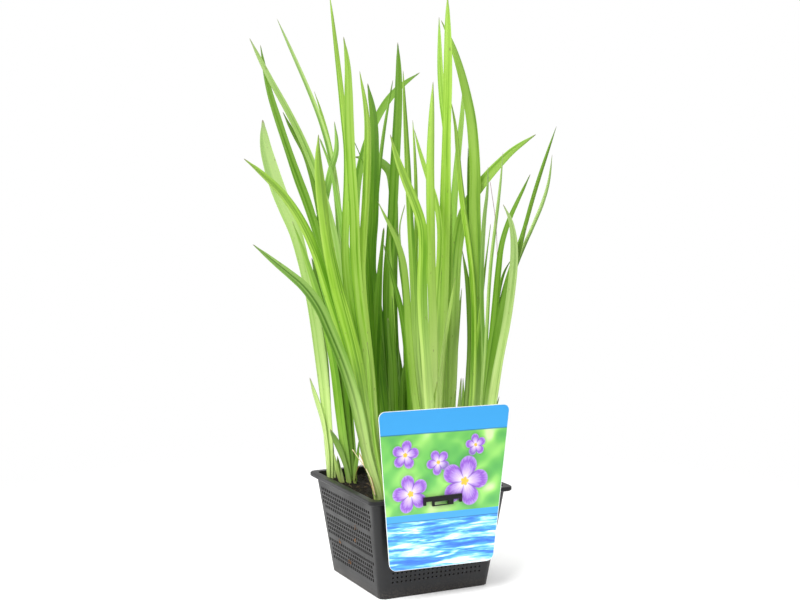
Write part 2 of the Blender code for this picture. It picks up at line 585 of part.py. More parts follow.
def make_leaf(name, shoot, leaf, section, parts):
    line, marks = leaf_line(shoot, leaf)
    curve = bpy.data.curves.new(name, "CURVE")
    curve.dimensions = "3D"
    curve.twist_mode = "MINIMUM"
    curve.resolution_u = 1
    curve.render_resolution_u = 0
    curve.bevel_mode = "OBJECT"
    curve.bevel_object = section
    curve.use_fill_caps = True
    curve.materials.append(plain_material(*LEAF_TONES[leaf.tone]))
    spline = curve.splines.new("POLY")
    spline.points.add(len(line) - 1)
    heading = (line[1] - line[0]).normalized()
    along = fan_axes(shoot)[0]
    settled = heading.to_track_quat("-Z", "Y") @ Vector((1, 0, 0))
    wanted = (along - heading * along.dot(heading)).normalized()
    start_tilt = math.atan2(settled.cross(wanted).dot(heading), settled.dot(wanted))
    for point, spot, mark in zip(spline.points, line, marks):
        point.co = (*spot, 1)
        point.radius = blade_width(shoot, leaf) / 2 * blade_share(mark, marks[-1])
        turn = math.radians(leaf.twist) * (mark / marks[-1]) ** TWIST_POWER
        point.tilt = start_tilt + turn
    obj = bpy.data.objects.new(name, curve)
    parts.objects.link(obj)
    return obj


def make_leaves(parts, cutters):
    section = make_section(cutters)
    for name, shoot in SHOOTS.items():
        for number, leaf in enumerate(shoot.leaves, start=1):
            make_leaf(f"{name}_leaf_{number}", shoot, leaf, section, parts)


def main():
    clear_scene()
    parts = new_collection("potted_blue_flag_iris")
    cutters = new_collection("cutters_and_guides")
    make_pot(parts, cutters)
    make_soil(parts, cutters)
    make_card(parts, cutters)
    make_clip(parts, cutters)
    make_leaves(parts, cutters)


if __name__ == "__main__":
    main()
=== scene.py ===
"""Potted blue flag iris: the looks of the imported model.

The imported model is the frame. Leaves, basket and peat are replaced by finer pieces that stand where
their solids stand, and the label and its clip keep their solids under better finishes. Lengths are
metres, except in the tables that say millimetres. The camera faces the near left corner of the
basket.
"""

import json
import math
from collections import namedtuple
from functools import cache

import bmesh
import bpy
import numpy as np
from bpy.props import FloatProperty, FloatVectorProperty, IntProperty, PointerProperty
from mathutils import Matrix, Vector, noise

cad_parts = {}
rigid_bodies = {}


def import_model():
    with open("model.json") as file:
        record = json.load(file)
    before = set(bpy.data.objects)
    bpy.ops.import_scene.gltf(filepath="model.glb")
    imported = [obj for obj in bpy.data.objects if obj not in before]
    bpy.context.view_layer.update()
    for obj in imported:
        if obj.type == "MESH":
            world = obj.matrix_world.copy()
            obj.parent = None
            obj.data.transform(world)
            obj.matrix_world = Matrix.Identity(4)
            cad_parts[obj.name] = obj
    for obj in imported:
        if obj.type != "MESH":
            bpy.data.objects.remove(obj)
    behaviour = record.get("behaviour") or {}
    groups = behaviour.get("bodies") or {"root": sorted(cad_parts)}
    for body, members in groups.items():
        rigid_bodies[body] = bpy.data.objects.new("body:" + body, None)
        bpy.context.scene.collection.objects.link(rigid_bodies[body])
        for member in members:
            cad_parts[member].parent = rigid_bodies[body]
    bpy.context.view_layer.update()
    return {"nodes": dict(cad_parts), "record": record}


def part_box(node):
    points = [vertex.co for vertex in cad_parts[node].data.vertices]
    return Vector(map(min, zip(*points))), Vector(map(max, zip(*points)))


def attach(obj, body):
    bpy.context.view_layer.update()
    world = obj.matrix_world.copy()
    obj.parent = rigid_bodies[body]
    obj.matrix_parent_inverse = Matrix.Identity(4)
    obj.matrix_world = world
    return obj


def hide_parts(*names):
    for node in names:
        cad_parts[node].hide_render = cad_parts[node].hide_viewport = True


bl_info = {
    "name": "Potted Blue Flag Iris",
    "version": (1, 0, 0),
    "blender": (4, 5, 0),
    "location": "View3D > Sidebar > Iris",
    "description": "Dresses the packed potted iris with leaves, basket, peat, label and stage",
    "category": "Object",
}


def clear_startup():
    for thing in list(bpy.data.objects):
        bpy.data.objects.remove(thing, do_unlink=True)


clear_startup()
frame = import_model()

MM = 0.001
SEED = 7
BODY = "root"
SLOTS = {entry["node"]: entry["material_slot"] for entry in frame["record"]["subparts"]}
COLOURS = {entry["slot"]: tuple(entry["base_color"][:3]) for entry in frame["record"]["materials"]}
LEAF_NODES = sorted(name for name in frame["nodes"] if "_leaf_" in name)

_, POT_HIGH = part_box("pot")
SOIL_LOW, SOIL_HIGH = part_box("soil")
CARD_LOW, CARD_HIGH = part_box("label_card")
RIM_HALF = POT_HIGH[0]
RIM_LEVEL = POT_HIGH[2]
FOOT_HALF = max(abs(vert.co.x) for vert in frame["nodes"]["pot"].data.vertices if vert.co.z < MM)
CORNER_STEPS = 6

# The camera's place, and the upright plane through the basket's middle that squarely faces it
VIEW_TURN = math.radians(25.9)
VIEW_RISE = math.radians(5.76)
VIEW_DISTANCE = 922 * MM
AIM_ACROSS = -5.6 * MM
AIM_LEVEL = 178.4 * MM
ACROSS = Vector((math.cos(VIEW_TURN), -math.sin(VIEW_TURN), 0))
NEARER = Vector((-math.sin(VIEW_TURN), -math.cos(VIEW_TURN), 0))
UP = Vector((0, 0, 1))
EYE_NEARER = VIEW_DISTANCE * math.cos(VIEW_RISE)
EYE_LEVEL = AIM_LEVEL + VIEW_DISTANCE * math.sin(VIEW_RISE)

# The even studio light, from behind the object's left and from behind the camera's right
SKY_DIM = (0.16, 0.16, 0.17)
SKY_LIT = (1.15, 1.15, 1.14)

# The lamps: size, share of the key's power, and place toward the camera, to its right and up
LAMPS = {
    "key": (0.7, 1, (0.95, -0.55, 1.15)),
    "fill": (0.8, 0.28, (0.5, 0.9, 0.6)),
    "edge": (0.8, 0.6, (-0.75, -0.75, 0.25)),
}
LAMP_AIM = Vector((0, 0, 0.2))

# Colours that no setting changes: on the basket, in the peat, on the leaves and on the card
DUST = (0.016, 0.016, 0.017)
DRIED_MUD = (0.075, 0.060, 0.045)
# Painted shade for the sides of the basket's slots and the rim's inner edge
SLOT_PAINTED_SHADE = (0.006, 0.005, 0.004)
CRUMB = (0.026, 0.019, 0.012)
BARK = (0.050, 0.034, 0.019)
FIBRE_LIGHT = (0.24, 0.18, 0.10)
FOOT_STAIN = (0.22, 0.20, 0.07)
BROWN_SPOT = (0.16, 0.15, 0.05)
PALE_PETAL = (0.62, 0.45, 0.86)
PETAL_FOLD = (0.14, 0.04, 0.36)
STAMEN = (0.80, 0.55, 0.06)
BLOSSOM_SHADOW = (0.06, 0.25, 0.08)
PRINTED_LINE = (0.01, 0.12, 0.30)
CARD_WHITE = (0.83, 0.85, 0.87)

# The dry finishes that no setting changes: their middle colour and their palest
RUST = ("rusty_root", (0.20, 0.085, 0.025), (0.42, 0.23, 0.09))
DIRT = ("rusty_dirt", (0.17, 0.075, 0.03), (0.40, 0.22, 0.10))
STRAW = ("dry_straw", (0.66, 0.54, 0.30), (0.90, 0.82, 0.58))
SHEATH = ("dry_sheath", (0.54, 0.40, 0.13), (0.82, 0.70, 0.34))
THREAD = ("withered_thread", (0.20, 0.10, 0.11), (0.42, 0.27, 0.25))

# Printed blossoms: millimetres to the right of the card's middle and down from its top, their
# radius in millimetres and their turn
CARD_CORNER = 4.5 * MM
PETALS = 5
BLOSSOMS = [
    ((-26, 27), 9, 0.4),
    ((21, 24), 7, 1.1),
    ((-4, 33), 8, 2.0),
    ((14, 46), 16, 0.2),
    ((-22, 51), 12, 1.5),
]

# How pale the feet of a shoot's blades are
SHOOT_PALLOR = {"back": 0.1, "back_left": 0.75, "left_sprout": 0.2, "left": 0.25, "front": 0.65,
                "front_inner": 0.6, "middle": 1.0, "right": 1.05, "far_right": 0.6,
                "right_corner": 0.55}

# Blades that differ from their shoot: a tone other than their solid's, the width near the tip as a
# share of the solid's, how much darker than the tone, how pale the foot, and how deep a fold
# A blade with its own fold also gets painted shade down its crease
Own = namedtuple("Own", "tone slender dim pallor fold", defaults=(None, 1.0, 0.0, None, None))
BLADES = {
    "back_leaf_1": Own(dim=0.25),
    "back_leaf_3": Own(dim=0.25),
    "back_leaf_4": Own("leaf_deep", 1.6, 0.15),
    "back_leaf_5": Own(slender=2.6, dim=0.3),
    "back_left_leaf_1": Own(slender=1.8, dim=0.15),
    "back_left_leaf_2": Own(pallor=1.1),
    "back_left_leaf_3": Own(slender=2.6),
    "left_leaf_1": Own("leaf_mid", dim=0.4),
    "left_leaf_2": Own("leaf_deep", dim=0.25),
    "left_leaf_4": Own("leaf_deep", 2.2),
    "front_leaf_1": Own(fold=0.55),
    "front_leaf_2": Own("leaf_fresh"),
    "front_leaf_4": Own("leaf_fresh", 0.75),
    "front_leaf_7": Own("leaf_mid", 1.6, pallor=0.25),
    "front_inner_leaf_1": Own("leaf_pale", 1.1, 0.25),
    "front_inner_leaf_2": Own("leaf_deep", dim=0.1),
    "front_inner_leaf_4": Own("leaf_pale", 0.7),
    "front_inner_leaf_5": Own(slender=1.8),
    "front_inner_leaf_7": Own("leaf_mid"),
    "middle_leaf_1": Own("leaf_mid", dim=0.1, pallor=0.5),
    "middle_leaf_2": Own(slender=0.8),
    "middle_leaf_5": Own("leaf_fresh"),
    "middle_leaf_6": Own(dim=0.15),
    "middle_leaf_7": Own("leaf_mid"),
    "right_leaf_1": Own(slender=0.85, dim=0.15),
    "right_leaf_2": Own(slender=1.3),
    "right_leaf_3": Own("leaf_mid", pallor=1.2),
    "right_leaf_4": Own(slender=1.8, dim=0.35),
    "right_leaf_5": Own("leaf_fresh", pallor=1.1),
    "right_leaf_6": Own(dim=0.5),
    "far_right_leaf_1": Own(slender=0.7),
    "far_right_leaf_3": Own(dim=0.15),
    "right_corner_leaf_1": Own(pallor=0.8),
    "right_corner_leaf_2": Own("leaf_deep"),
    "right_corner_leaf_4": Own("leaf_pale"),
    "right_corner_leaf_5": Own(dim=0.2),
    "right_corner_leaf_7": Own("leaf_pale"),
}


def length(name, text, default):
    return FloatProperty(name=name, description=text, default=default, min=0, unit="LENGTH")


def share(name, text, default):
    return FloatProperty(name=name, description=text, default=default, min=0, max=1, subtype="FACTOR")


def colour(name, text, default):
    return FloatVectorProperty(name=name, description=text, default=default, min=0, max=1,
                               size=3, subtype="COLOR")


def angle(name, text, default):
    return FloatProperty(name=name, description=text, default=default, subtype="ANGLE")


def number(name, text, default, least=0):
    return IntProperty(name=name, description=text, default=default, min=least)


class BasketSettings(bpy.types.PropertyGroup):
    wall: length("Wall", "Thickness of the walls and the floor", 1.2 * MM)
    overhang: length("Overhang", "How far the rim stands out from the wall", 3 * MM)
    rim_drop: length("Rim depth", "Height of the rim's edge", 2.7 * MM)
    rim_width: length("Rim width", "Width of the rim's flat top", 4.5 * MM)
    corner: length("Corner", "Radius of the upright corners", 4.5 * MM)
    bands: number("Bands", "Bands of slots in a wall", 3, 1)
    rows: number("Rows", "Rows of slots in a band", 5, 1)
    columns: number("Columns", "Slots in the longest row", 25, 1)
    first_row: length("First row", "From the rim's top down to the first slots", 8.3 * MM)
    strip: length("Strip", "Plain height between two bands", 3.1 * MM)
    margin: length("Margin", "Plain width beside a row of slots", 6.4 * MM)
    row_pitch: length("Row pitch", "From a row of slots to the next", 2.83 * MM)
    column_pitch: length("Column pitch", "From a slot to the next in its row", 3.0 * MM)
    slot_width: length("Slot width", "Width of a slot on the outside", 1.9 * MM)
    slot_height: length("Slot height", "Height of a slot on the outside", 2.1 * MM)
    narrowing: share("Narrowing", "Width of a slot on the inside as a share of the outside", 0.75)
    label_side: share("Label side", "Size of a slot in the label's wall as a share of the others", 0.55)
    plastic: colour("Plastic", "Colour of the basket and the clip", (0.0045, 0.0045, 0.0055))


class PeatSettings(bpy.types.PropertyGroup):
    cells: number("Cells", "Cells across the peat's surface", 120, 8)
    relief: length("Relief", "Height of the lumps in the surface", 1.5 * MM)
    crumbs: number("Crumbs", "Loose crumbs on the surface", 1100)
    chips: number("Chips", "Bits of bark on the surface", 110)
    fibres: number("Fibres", "Root fibres in the surface", 70)
    peat: colour("Peat", "Colour of damp peat", COLOURS["peat"])
    fibre: colour("Fibre", "Colour of dry root fibres", (0.060, 0.042, 0.022))


class LeafSettings(bpy.types.PropertyGroup):
    step: length("Step", "Distance between the cross-sections of a blade", 3.2 * MM)
    foot_thickness: length("Foot thickness", "Thickness of a blade at its foot", 1.5 * MM)
    blade_thickness: length("Blade thickness", "Thickness of a blade half way up", 0.75 * MM)
    fold: share("Fold", "Depth of a blade's hollow as a share of half its width", 0.24)
    wave: length("Wave", "How far a blade's edges wander", 0.4 * MM)
    vein_pitch: length("Vein pitch", "Distance between two veins", 0.62 * MM)
    leaf_pale: colour("Pale", "Colour of the palest blades", (0.27, 0.44, 0.095))
    leaf_fresh: colour("Fresh", "Colour of the bright young blades", (0.295, 0.54, 0.042))
    leaf_mid: colour("Middle", "Colour of most blades", (0.23, 0.44, 0.035))
    leaf_deep: colour("Deep", "Colour of the darkest blades", (0.11, 0.255, 0.010))
    leaf_blue: colour("Blue", "Colour of the bluish blades", (0.20, 0.40, 0.05))
    pale_foot: colour("Pale foot", "Colour of a blade near the peat", (0.74, 0.92, 0.34))
    foot_width: share("Foot width", "Width of a blade in the peat as a share of its solid's", 0.72)
    dry_tip: colour("Dry tip", "Colour of a blade's outermost tip", (0.24, 0.19, 0.13))


class LabelSettings(bpy.types.PropertyGroup):
    foot_width: length("Foot width", "Width of the card's lower edge", 69.8 * MM)
    top_width: length("Top width", "Width of the card's upper edge", 88.2 * MM)
    tall: length("Height", "Height of the card", 97.6 * MM)
    slant: angle("Slant", "How far the card hangs askew", math.radians(0.6))
    border: length("Border", "Width of the card's white edge", 0.3 * MM)
    header: length("Header", "Height of the plain blue heading", 14.6 * MM)
    picture: length("Picture", "Height of the flower picture", 49.2 * MM)
    band: length("Band", "Height of the plain blue band under the picture", 4.3 * MM)
    blue: colour("Blue", "Colour of the heading and the band", (0.05, 0.36, 0.77))
    green: colour("Green", "Colour of the blurred meadow", (0.17, 0.55, 0.115))
    petal: colour("Petal", "Colour of the printed petals", (0.27, 0.085, 0.60))
    water: colour("Water", "Colour of the printed water", (0.04, 0.23, 0.83))


class StageSettings(bpy.types.PropertyGroup):
    distance: length("Distance", "From the camera to its target", VIEW_DISTANCE)
    turn: angle("Turn", "Camera's turn from the card's front", VIEW_TURN)
    rise: angle("Rise", "Camera's angle above the ground", VIEW_RISE)
    aim_across: FloatProperty(name="Aim across", description="Target's place to the right",
                              default=AIM_ACROSS, unit="LENGTH")
    aim_level: length("Aim level", "Target's height above the ground", AIM_LEVEL)
    lens: FloatProperty(name="Lens", description="Focal length in millimetres", default=65.93, min=1)
    sky: FloatProperty(name="Sky", description="Strength of the even studio light", default=0.92, min=0)
    key: FloatProperty(name="Key", description="Power of the large light in watts", default=20, min=0)


# Shader maths

def overload(operation, reflected=False):
    """Return a method that stands for one of Python's operators, and adds its Math node."""
    def method(value, *others):
        inputs = (*others, value) if reflected else (value, *others)
        return value.finish.node("ShaderNodeMath", dict(enumerate(inputs)), operation=operation)
    return method


class Value:
    """A shader socket. Arithmetic on it adds Math nodes to its material."""

    def __init__(self, finish, socket):
        self.finish = finish
        self.socket = socket

    __add__ = __radd__ = overload("ADD")
    __sub__ = overload("SUBTRACT")
    __rsub__ = overload("SUBTRACT", reflected=True)
    __mul__ = __rmul__ = overload("MULTIPLY")
    __truediv__ = overload("DIVIDE")
    __rtruediv__ = overload("DIVIDE", reflected=True)
    __pow__ = overload("POWER")
    __lt__ = overload("LESS_THAN")
    __gt__ = overload("GREATER_THAN")
    __abs__ = overload("ABSOLUTE")
    cosine = overload("COSINE")
    direction = overload("ARCTAN2")
    at_most = overload("MINIMUM")
    at_least = overload("MAXIMUM")


class Nodes:
    """A node tree in the making."""

    def __init__(self, tree):
        self.tree = tree

    def node(self, kind, sockets=None, output=0, stops=None, **settings):
        """Add a node, set its settings, then the values or links of its sockets."""
        made = self.tree.nodes.new(kind)
        for name, value in settings.items():
            setattr(made, name, value)
        if stops:
            ramp = made.color_ramp
            while len(ramp.elements) < len(stops):
                ramp.elements.new(1)
            for element, (place, shade) in zip(ramp.elements, stops):
                element.position = place
                element.color = (*shade, 1)
        for name, value in (sockets or {}).items():
            self.feed(made.inputs[name], value)
        return Value(self, made.outputs[output])

    def feed(self, socket, value):
        """Link a socket to a Value, or set it to a number, a vector or a colour."""
        if isinstance(value, Value):
            self.tree.links.new(value.socket, socket)
        elif socket.type == "RGBA":
            socket.default_value = (*value, 1)
        else:
            socket.default_value = value

    def split(self, vector):
        return [self.node("ShaderNodeSeparateXYZ", {0: vector}, output=axis) for axis in range(3)]

    def place(self, kind="Object"):
        """Return the x, y and z of the surface, or of its direction where the kind is Normal."""
        return self.split(self.node("ShaderNodeTexCoord", output=kind))

    def attribute(self, name):
        return self.split(self.node("ShaderNodeAttribute", output="Vector", attribute_name=name))

    def noise(self, x, y, z, scale=1.0, detail=2.0, roughness=0.5, distortion=0.0):
        place = self.node("ShaderNodeCombineXYZ", {0: x, 1: y, 2: z})
        return self.node("ShaderNodeTexNoise", {"Vector": place, "Scale": scale, "Detail": detail,
                                                "Roughness": roughness, "Distortion": distortion})

    def smooth(self, value, low, high, start=0.0, end=1.0):
        """Return a value that eases from start to end as value goes from low to high."""
        return self.node("ShaderNodeMapRange",
                         {"Value": value, "From Min": low, "From Max": high, "To Min": start,
                          "To Max": end}, interpolation_type="SMOOTHSTEP")

    def ramp(self, factor, *stops):
        return self.node("ShaderNodeValToRGB", {0: factor}, stops=stops)

    def coats(self, shade, *coats):
        """Lay coats over a colour in order, each given by how much it covers and by its colour."""
        for cover, coat in coats:
            shade = self.node("ShaderNodeMix", {0: cover, 6: shade, 7: coat}, output=2,
                              data_type="RGBA")
        return shade


class Finish(Nodes):
    """A material in the making: a Principled shader and the nodes that feed it."""

    def __init__(self, name, plain):
        self.material = bpy.data.materials.new(name)
        self.material.use_nodes = True
        super().__init__(self.material.node_tree)
        self.shader = self.tree.nodes["Principled BSDF"]
        self.show(plain)

    def bump(self, height, strength, distance):
        bump = self.node("ShaderNodeBump", {"Height": height, "Strength": strength,
                                            "Distance": distance})
        self.feed(self.shader.inputs["Normal"], bump)

    def show(self, surface):
        """Feed the shader's sockets by name, and return the material."""
        for name, value in surface.items():
            self.feed(self.shader.inputs[name], value)
        return self.material


# Finishes

def plastic_finish():
    """Black moulded plastic, with fine scuffs, a thin film of dust, mud near the ground and painted
    shade in the slots.
    """
    plastic = Finish("black_plastic_moulded", {"IOR": 1.45})
    x, y, z = plastic.place()
    wide = plastic.noise(x, y, z, scale=45, detail=4)
    dust = plastic.noise(x, y, z, scale=900, detail=3, roughness=0.7)
    drag = plastic.noise(x * 60, y * 60, z * 900, detail=3)
    film = plastic.smooth(wide * 0.7 + dust * 0.3, 0.42, 0.68)
    mud = plastic.smooth(z, 0, 9 * MM, 0.45, 0) * plastic.smooth(dust, 0.45, 0.6)
    # Painted shade: the deeper a point lies in a slot, or on the rim's inner edge, the darker and
    # rougher it is
    inside = plastic.smooth(plastic.attribute("depth")[0], 0.0, 0.25)
    shade = plastic.coats(bpy.context.scene.iris_basket.plastic, (film * 0.5, DUST),
                          (mud, DRIED_MUD), (inside, SLOT_PAINTED_SHADE))
    plastic.bump(dust * 0.5 + drag, 0.35, 0.12 * MM)
    return plastic.show({"Base Color": shade,
                         "Roughness": film * 0.14 + drag * 0.1 + inside * 0.5 + 0.34})


def clip_finish():
    """Clean black plastic with a soft gloss, for the label's clip."""
    black = np.array(bpy.context.scene.iris_basket.plastic)
    plastic = Finish("black_plastic_clip", {"IOR": 1.46})
    x, y, z = plastic.place()
    scuff = plastic.noise(x * 150, y * 300, z * 900, detail=3)
    plastic.bump(scuff, 0.2, 0.08 * MM)
    return plastic.show({"Base Color": plastic.coats(black * 0.3, (scuff, black)),
                         "Roughness": scuff * 0.2 + 0.22})


def peat_finish(name, shade):
    """Damp peat or bark: dark, crumbly and dull, about a middle shade."""
    peat = Finish(name, {"Specular IOR Level": 0.25})
    x, y, z = peat.place()
    grain = peat.noise(x, y, z, scale=1500, detail=4, roughness=0.65)
    lumps = peat.noise(x, y, z, scale=170, detail=4)
    tint = peat.attribute("tint")[0]
    shade = np.array(shade)
    peat.bump(grain + lumps * 2, 0.8, 0.5 * MM)
    return peat.show({
        "Base Color": peat.ramp(grain * 0.5 + lumps * 0.3 + tint * 0.2, (0.3, shade * 0.35),
                                (0.52, shade), (0.72, shade * (1.7, 1.55, 1.3))),
        "Roughness": grain * 0.2 + 0.72})


@cache
def fibre_finish(name, base, light):
    """A dry root, straw or sheath with streaks along it."""
    fibre = Finish(name, {"Roughness": 0.7, "Specular IOR Level": 0.3})
    x, y, z = fibre.place()
    streak = fibre.noise(x * 900, y * 900, z * 250, detail=3)
    tint = fibre.attribute("tint")[0]
    fibre.bump(streak, 0.5, 0.15 * MM)
    return fibre.show({"Base Color": fibre.ramp(
        streak * 0.6 + tint * 0.4, (0.3, np.array(base) * 0.4), (0.5, base), (0.72, light))})


def root_finish():
    return fibre_finish("dry_root", tuple(bpy.context.scene.iris_peat.fibre), FIBRE_LIGHT)


@cache
def leaf_finish(tone):
    """A living blade in one of the record's greens: veins, a pale foot, thin edges painted lighter as
    if lit through, a dry tip, and painted shade on one half, down a crease and between the feet.
    """
    leaves = bpy.context.scene.iris_leaves
    green = np.array(getattr(leaves, tone))
    leaf = Finish(tone + "_blade", {"IOR": 1.4, "Specular IOR Level": 0.12 + green[1] * 0.4})
    across, foot, tip = leaf.attribute("blade")
    tint, veins, pallor = leaf.attribute("look")
    crease, dim, _ = leaf.attribute("form")
    edge = abs(across)

    seed = tint * 60
    fine = leaf.noise(across * veins, foot * 9, seed, roughness=0.6)
    ribs = leaf.noise(across * veins * 0.34, foot * 4, seed + 17, detail=1)
    broad = leaf.noise(across * 1.3, foot * 15, seed + 9)
    patch = leaf.noise(across * 0.7, foot * 34, seed + 31, distortion=0.6)
    spots = leaf.noise(across * 3, foot * 230, seed, detail=1)
    bands = leaf.smooth(ribs, 0.36, 0.64)
    # Painted shade: one half of each blade, on a side its tint picks, is darker, as if its fold turned
    # that half from the light
    side = leaf.smooth(across * (tint - 0.5), -0.25, 0.25)
    shade = fine * 0.2 + bands * 0.12 + side * 0.11 + broad * 0.3 + patch * 0.1 + tint * 0.12 + 0.03

    glow = green[1] * 0.08
    dark = green * (0.42, 0.56, 0.28)
    light = green * (1.22, 1.10, 1.3) + glow
    cool = green * (1.02, 0.96, 1.4) + (glow, glow / 2, glow)
    faded = green * (0.85, 0.62, 1.1) + (0.02, 0.02, 0.04)
    rib = leaf.smooth(abs(across + 0.06), 0.02, 0.13, 1, 0)
    # Painted shade: a dark line down the fold of a creased blade
    painted_crease_shade = leaf.smooth(abs(across - 0.1), 0.03, 0.3, 1, 0) * crease
    bare = leaf.smooth(foot + fine * 14 * MM, 8 * MM, pallor * 140 * MM + 35 * MM, 1, 0) * pallor
    # Painted shade: the margins are darker near the foot, where the blades would shade each other
    painted_crevice_shade = leaf.smooth(edge, 0.7, 0.98) * leaf.smooth(foot, 30 * MM, 150 * MM, 0.6, 0)
    body = leaf.coats(
        leaf.ramp(shade, (0.41, dark), (0.49, green), (0.57, light)),
        (dim, dark),
        (leaf.smooth(tip, 10 * MM, 90 * MM, 0.45, 0), cool),
        (rib * 0.3, light),
        (painted_crease_shade * 0.85, green * (0.28, 0.40, 0.2)),
        # Painted light: the margins are paler, as if light shone through the thin edges
        (leaf.smooth(edge, 0.84, 1.0) * 0.45, light),
        ((bare * (bands * 0.4 + 0.7)).at_most(1), leaves.pale_foot),
        (painted_crevice_shade, green * (0.38, 0.48, 0.3)),
        (leaf.smooth(foot, 2 * MM, 17 * MM, 0.6, 0), FOOT_STAIN),
        (leaf.smooth(tip + broad * 8 * MM, 5 * MM, 15 * MM, 0.55, 0), faded),
        (leaf.smooth(tip + patch * 3 * MM, 1.8 * MM, 4 * MM, 0.8, 0), leaves.dry_tip),
        (leaf.smooth(spots, 0.73, 0.79) * 0.55, BROWN_SPOT))
    flat = leaf.smooth(edge, 0.5, 0.9, 1, 0)
    leaf.bump((ribs + rib * 0.6) * flat, 0.3, 0.25 * MM)
    return leaf.show({"Base Color": body, "Roughness": fine * 0.16 + 0.38})


def blossom(card, picture, across, down, centre, radius, turn):
    """Print one round open blossom over a picture, and return the picture with it."""
    right = across - centre[0]
    below = down - centre[1]
    reach = (right * right + below * below) ** 0.5
    spin = below.direction(right) * (PETALS / 2) + turn
    lobe = abs(spin.cosine())
    depth = reach / ((lobe ** 0.55 * 0.52 + 0.48) * radius)
    streaks = card.noise(spin * 9, reach * 0.25, turn, detail=1)
    petal = card.coats(
        card.ramp(depth * 0.72 + streaks * 0.3, (0.22, (0.90, 0.86, 0.98)), (0.45, PALE_PETAL),
                  (0.72, bpy.context.scene.iris_label.petal), (0.98, PALE_PETAL)),
        (card.smooth(lobe, 0.0, 0.35, 0.55, 0), PETAL_FOLD),
        (card.smooth(depth, 0.14, 0.22, 1, 0), STAMEN))
    return card.coats(picture, (card.smooth(depth, 0.95, 1.35, 0.35, 0), BLOSSOM_SHADOW),
                      (card.smooth(depth, 0.96, 1.02, 1, 0), petal))


def label_finish():
    """A glossy printed card: a blue heading, a meadow of round blossoms, a blue band and open water."""
    label = bpy.context.scene.iris_label
    card = Finish("label_print", {"Roughness": 0.3, "Coat Weight": 0.3})
    x, y, z = card.place()
    tall = label.tall / MM
    foot_half = label.foot_width / 2 / MM
    top_half = label.top_width / 2 / MM
    corner = CARD_CORNER / MM
    turn, drop = math.cos(label.slant), math.sin(label.slant)
    beside = (x - (CARD_HIGH[0] + CARD_LOW[0]) / 2) / MM
    below = (CARD_HIGH[2] - z) / MM - (top_half - corner) * drop
    across = beside * turn + below * drop
    down = below * turn - beside * drop
    half = down * ((foot_half - top_half) / tall) + top_half

    blur = card.noise(across * 0.035 + down * 0.025, down * 0.05 - across * 0.035, 0, detail=1,
                      distortion=0.4)
    soft = card.noise((across + down) * 0.085, (across - down) * 0.025, 5, detail=0)
    picture = card.ramp(blur * 0.6 + soft * 0.4, (0.34, (0.10, 0.42, 0.10)), (0.48, label.green),
                        (0.60, (0.34, 0.74, 0.17)), (0.72, (0.66, 0.88, 0.42)))
    for flower in BLOSSOMS:
        picture = blossom(card, picture, across, down, *flower)

    swell = card.noise(across * 0.035, down * 0.33, 2, detail=3, distortion=0.8)
    glint = card.noise(across * 0.09, down * 0.75, 8, detail=2, distortion=1.2)
    water = card.ramp(swell * 0.75 + glint * 0.25, (0.34, (0.02, 0.14, 0.62)), (0.43, label.water),
                      (0.50, (0.08, 0.46, 0.96)), (0.56, (0.38, 0.80, 0.98)), (0.63, (0.93, 0.98, 1)))

    header_end = label.header / MM
    picture_end = header_end + label.picture / MM
    band_end = picture_end + label.band / MM
    sidelong = (abs(across) - half + corner).at_least(0)
    endlong = (abs(down - tall / 2) - tall / 2 + corner).at_least(0)
    rim = (sidelong * sidelong + endlong * endlong) ** 0.5 > corner - label.border / MM
    lines = [(card.smooth(abs(down - line), 0.1, 0.55, 0.7, 0), PRINTED_LINE)
             for line in (header_end, band_end)]
    front = card.coats(label.blue, (down > header_end, picture), (down > picture_end, label.blue),
                       (down > band_end, water), *lines, (rim, CARD_WHITE))
    face = card.place("Normal")[1] < -0.5
    card.bump(card.noise(x, y, z, scale=260, detail=3), 0.12, 0.08 * MM)
    return card.show({"Base Color": card.coats(CARD_WHITE, (face, front))})


def floor_finish():
    """A matt white floor that fades into the white backdrop away from the object."""
    floor = Finish("studio_floor", {"Base Color": (0.92, 0.92, 0.92), "Roughness": 0.8,
                                    "Specular IOR Level": 0.1, "Emission Strength": 0.08,
                                    "Emission Color": (1, 1, 1)})
    x, y, _ = floor.place()
    return floor.show({"Alpha": floor.smooth((x * x + y * y) ** 0.5, 0.16, 0.42, 1, 0)})


# Meshes

def add_piece(name, mesh, finish):
    """Stand a mesh in the scene as a piece of the object."""
    mesh.materials.clear()
    mesh.materials.append(finish)
    piece = bpy.data.objects.new(name, mesh)
    bpy.context.scene.collection.objects.link(piece)
    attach(piece, BODY)
    return piece


def finished_mesh(bm, mesh, smooth=True):
    """Turn a form's faces outward, write it into a mesh and return that."""
    bmesh.ops.recalc_face_normals(bm, faces=bm.faces)
    bm.to_mesh(mesh)
    bm.free()
    mesh.polygons.foreach_set("use_smooth", [smooth] * len(mesh.polygons))
    return mesh


def make_mesh(name, points, faces, smooth=True):
    mesh = bpy.data.meshes.new(name)
    mesh.from_pydata(np.asarray(points, float).tolist(), [], faces)
    bm = bmesh.new()
    bm.from_mesh(mesh)
    return finished_mesh(bm, mesh, smooth)


def join_parts(parts):
    """Join (points, faces, tint) parts into one set of points and faces, with a tint for each point."""
    points, faces, tints, count = [], [], [], 0
    for spots, sides, tint in parts:
        points.append(spots)
        faces += [tuple(corner + count for corner in side) for side in sides]
        tints.append(np.full(len(spots), tint))
        count += len(spots)
    return np.concatenate(points), faces, np.concatenate(tints)


def write_attribute(mesh, name, values):
    """Keep three numbers at each point of a mesh for its finish to read."""
    layer = mesh.attributes.new(name, "FLOAT_VECTOR", "POINT")
    layer.data.foreach_set("vector", np.asarray(values, np.float32).ravel())


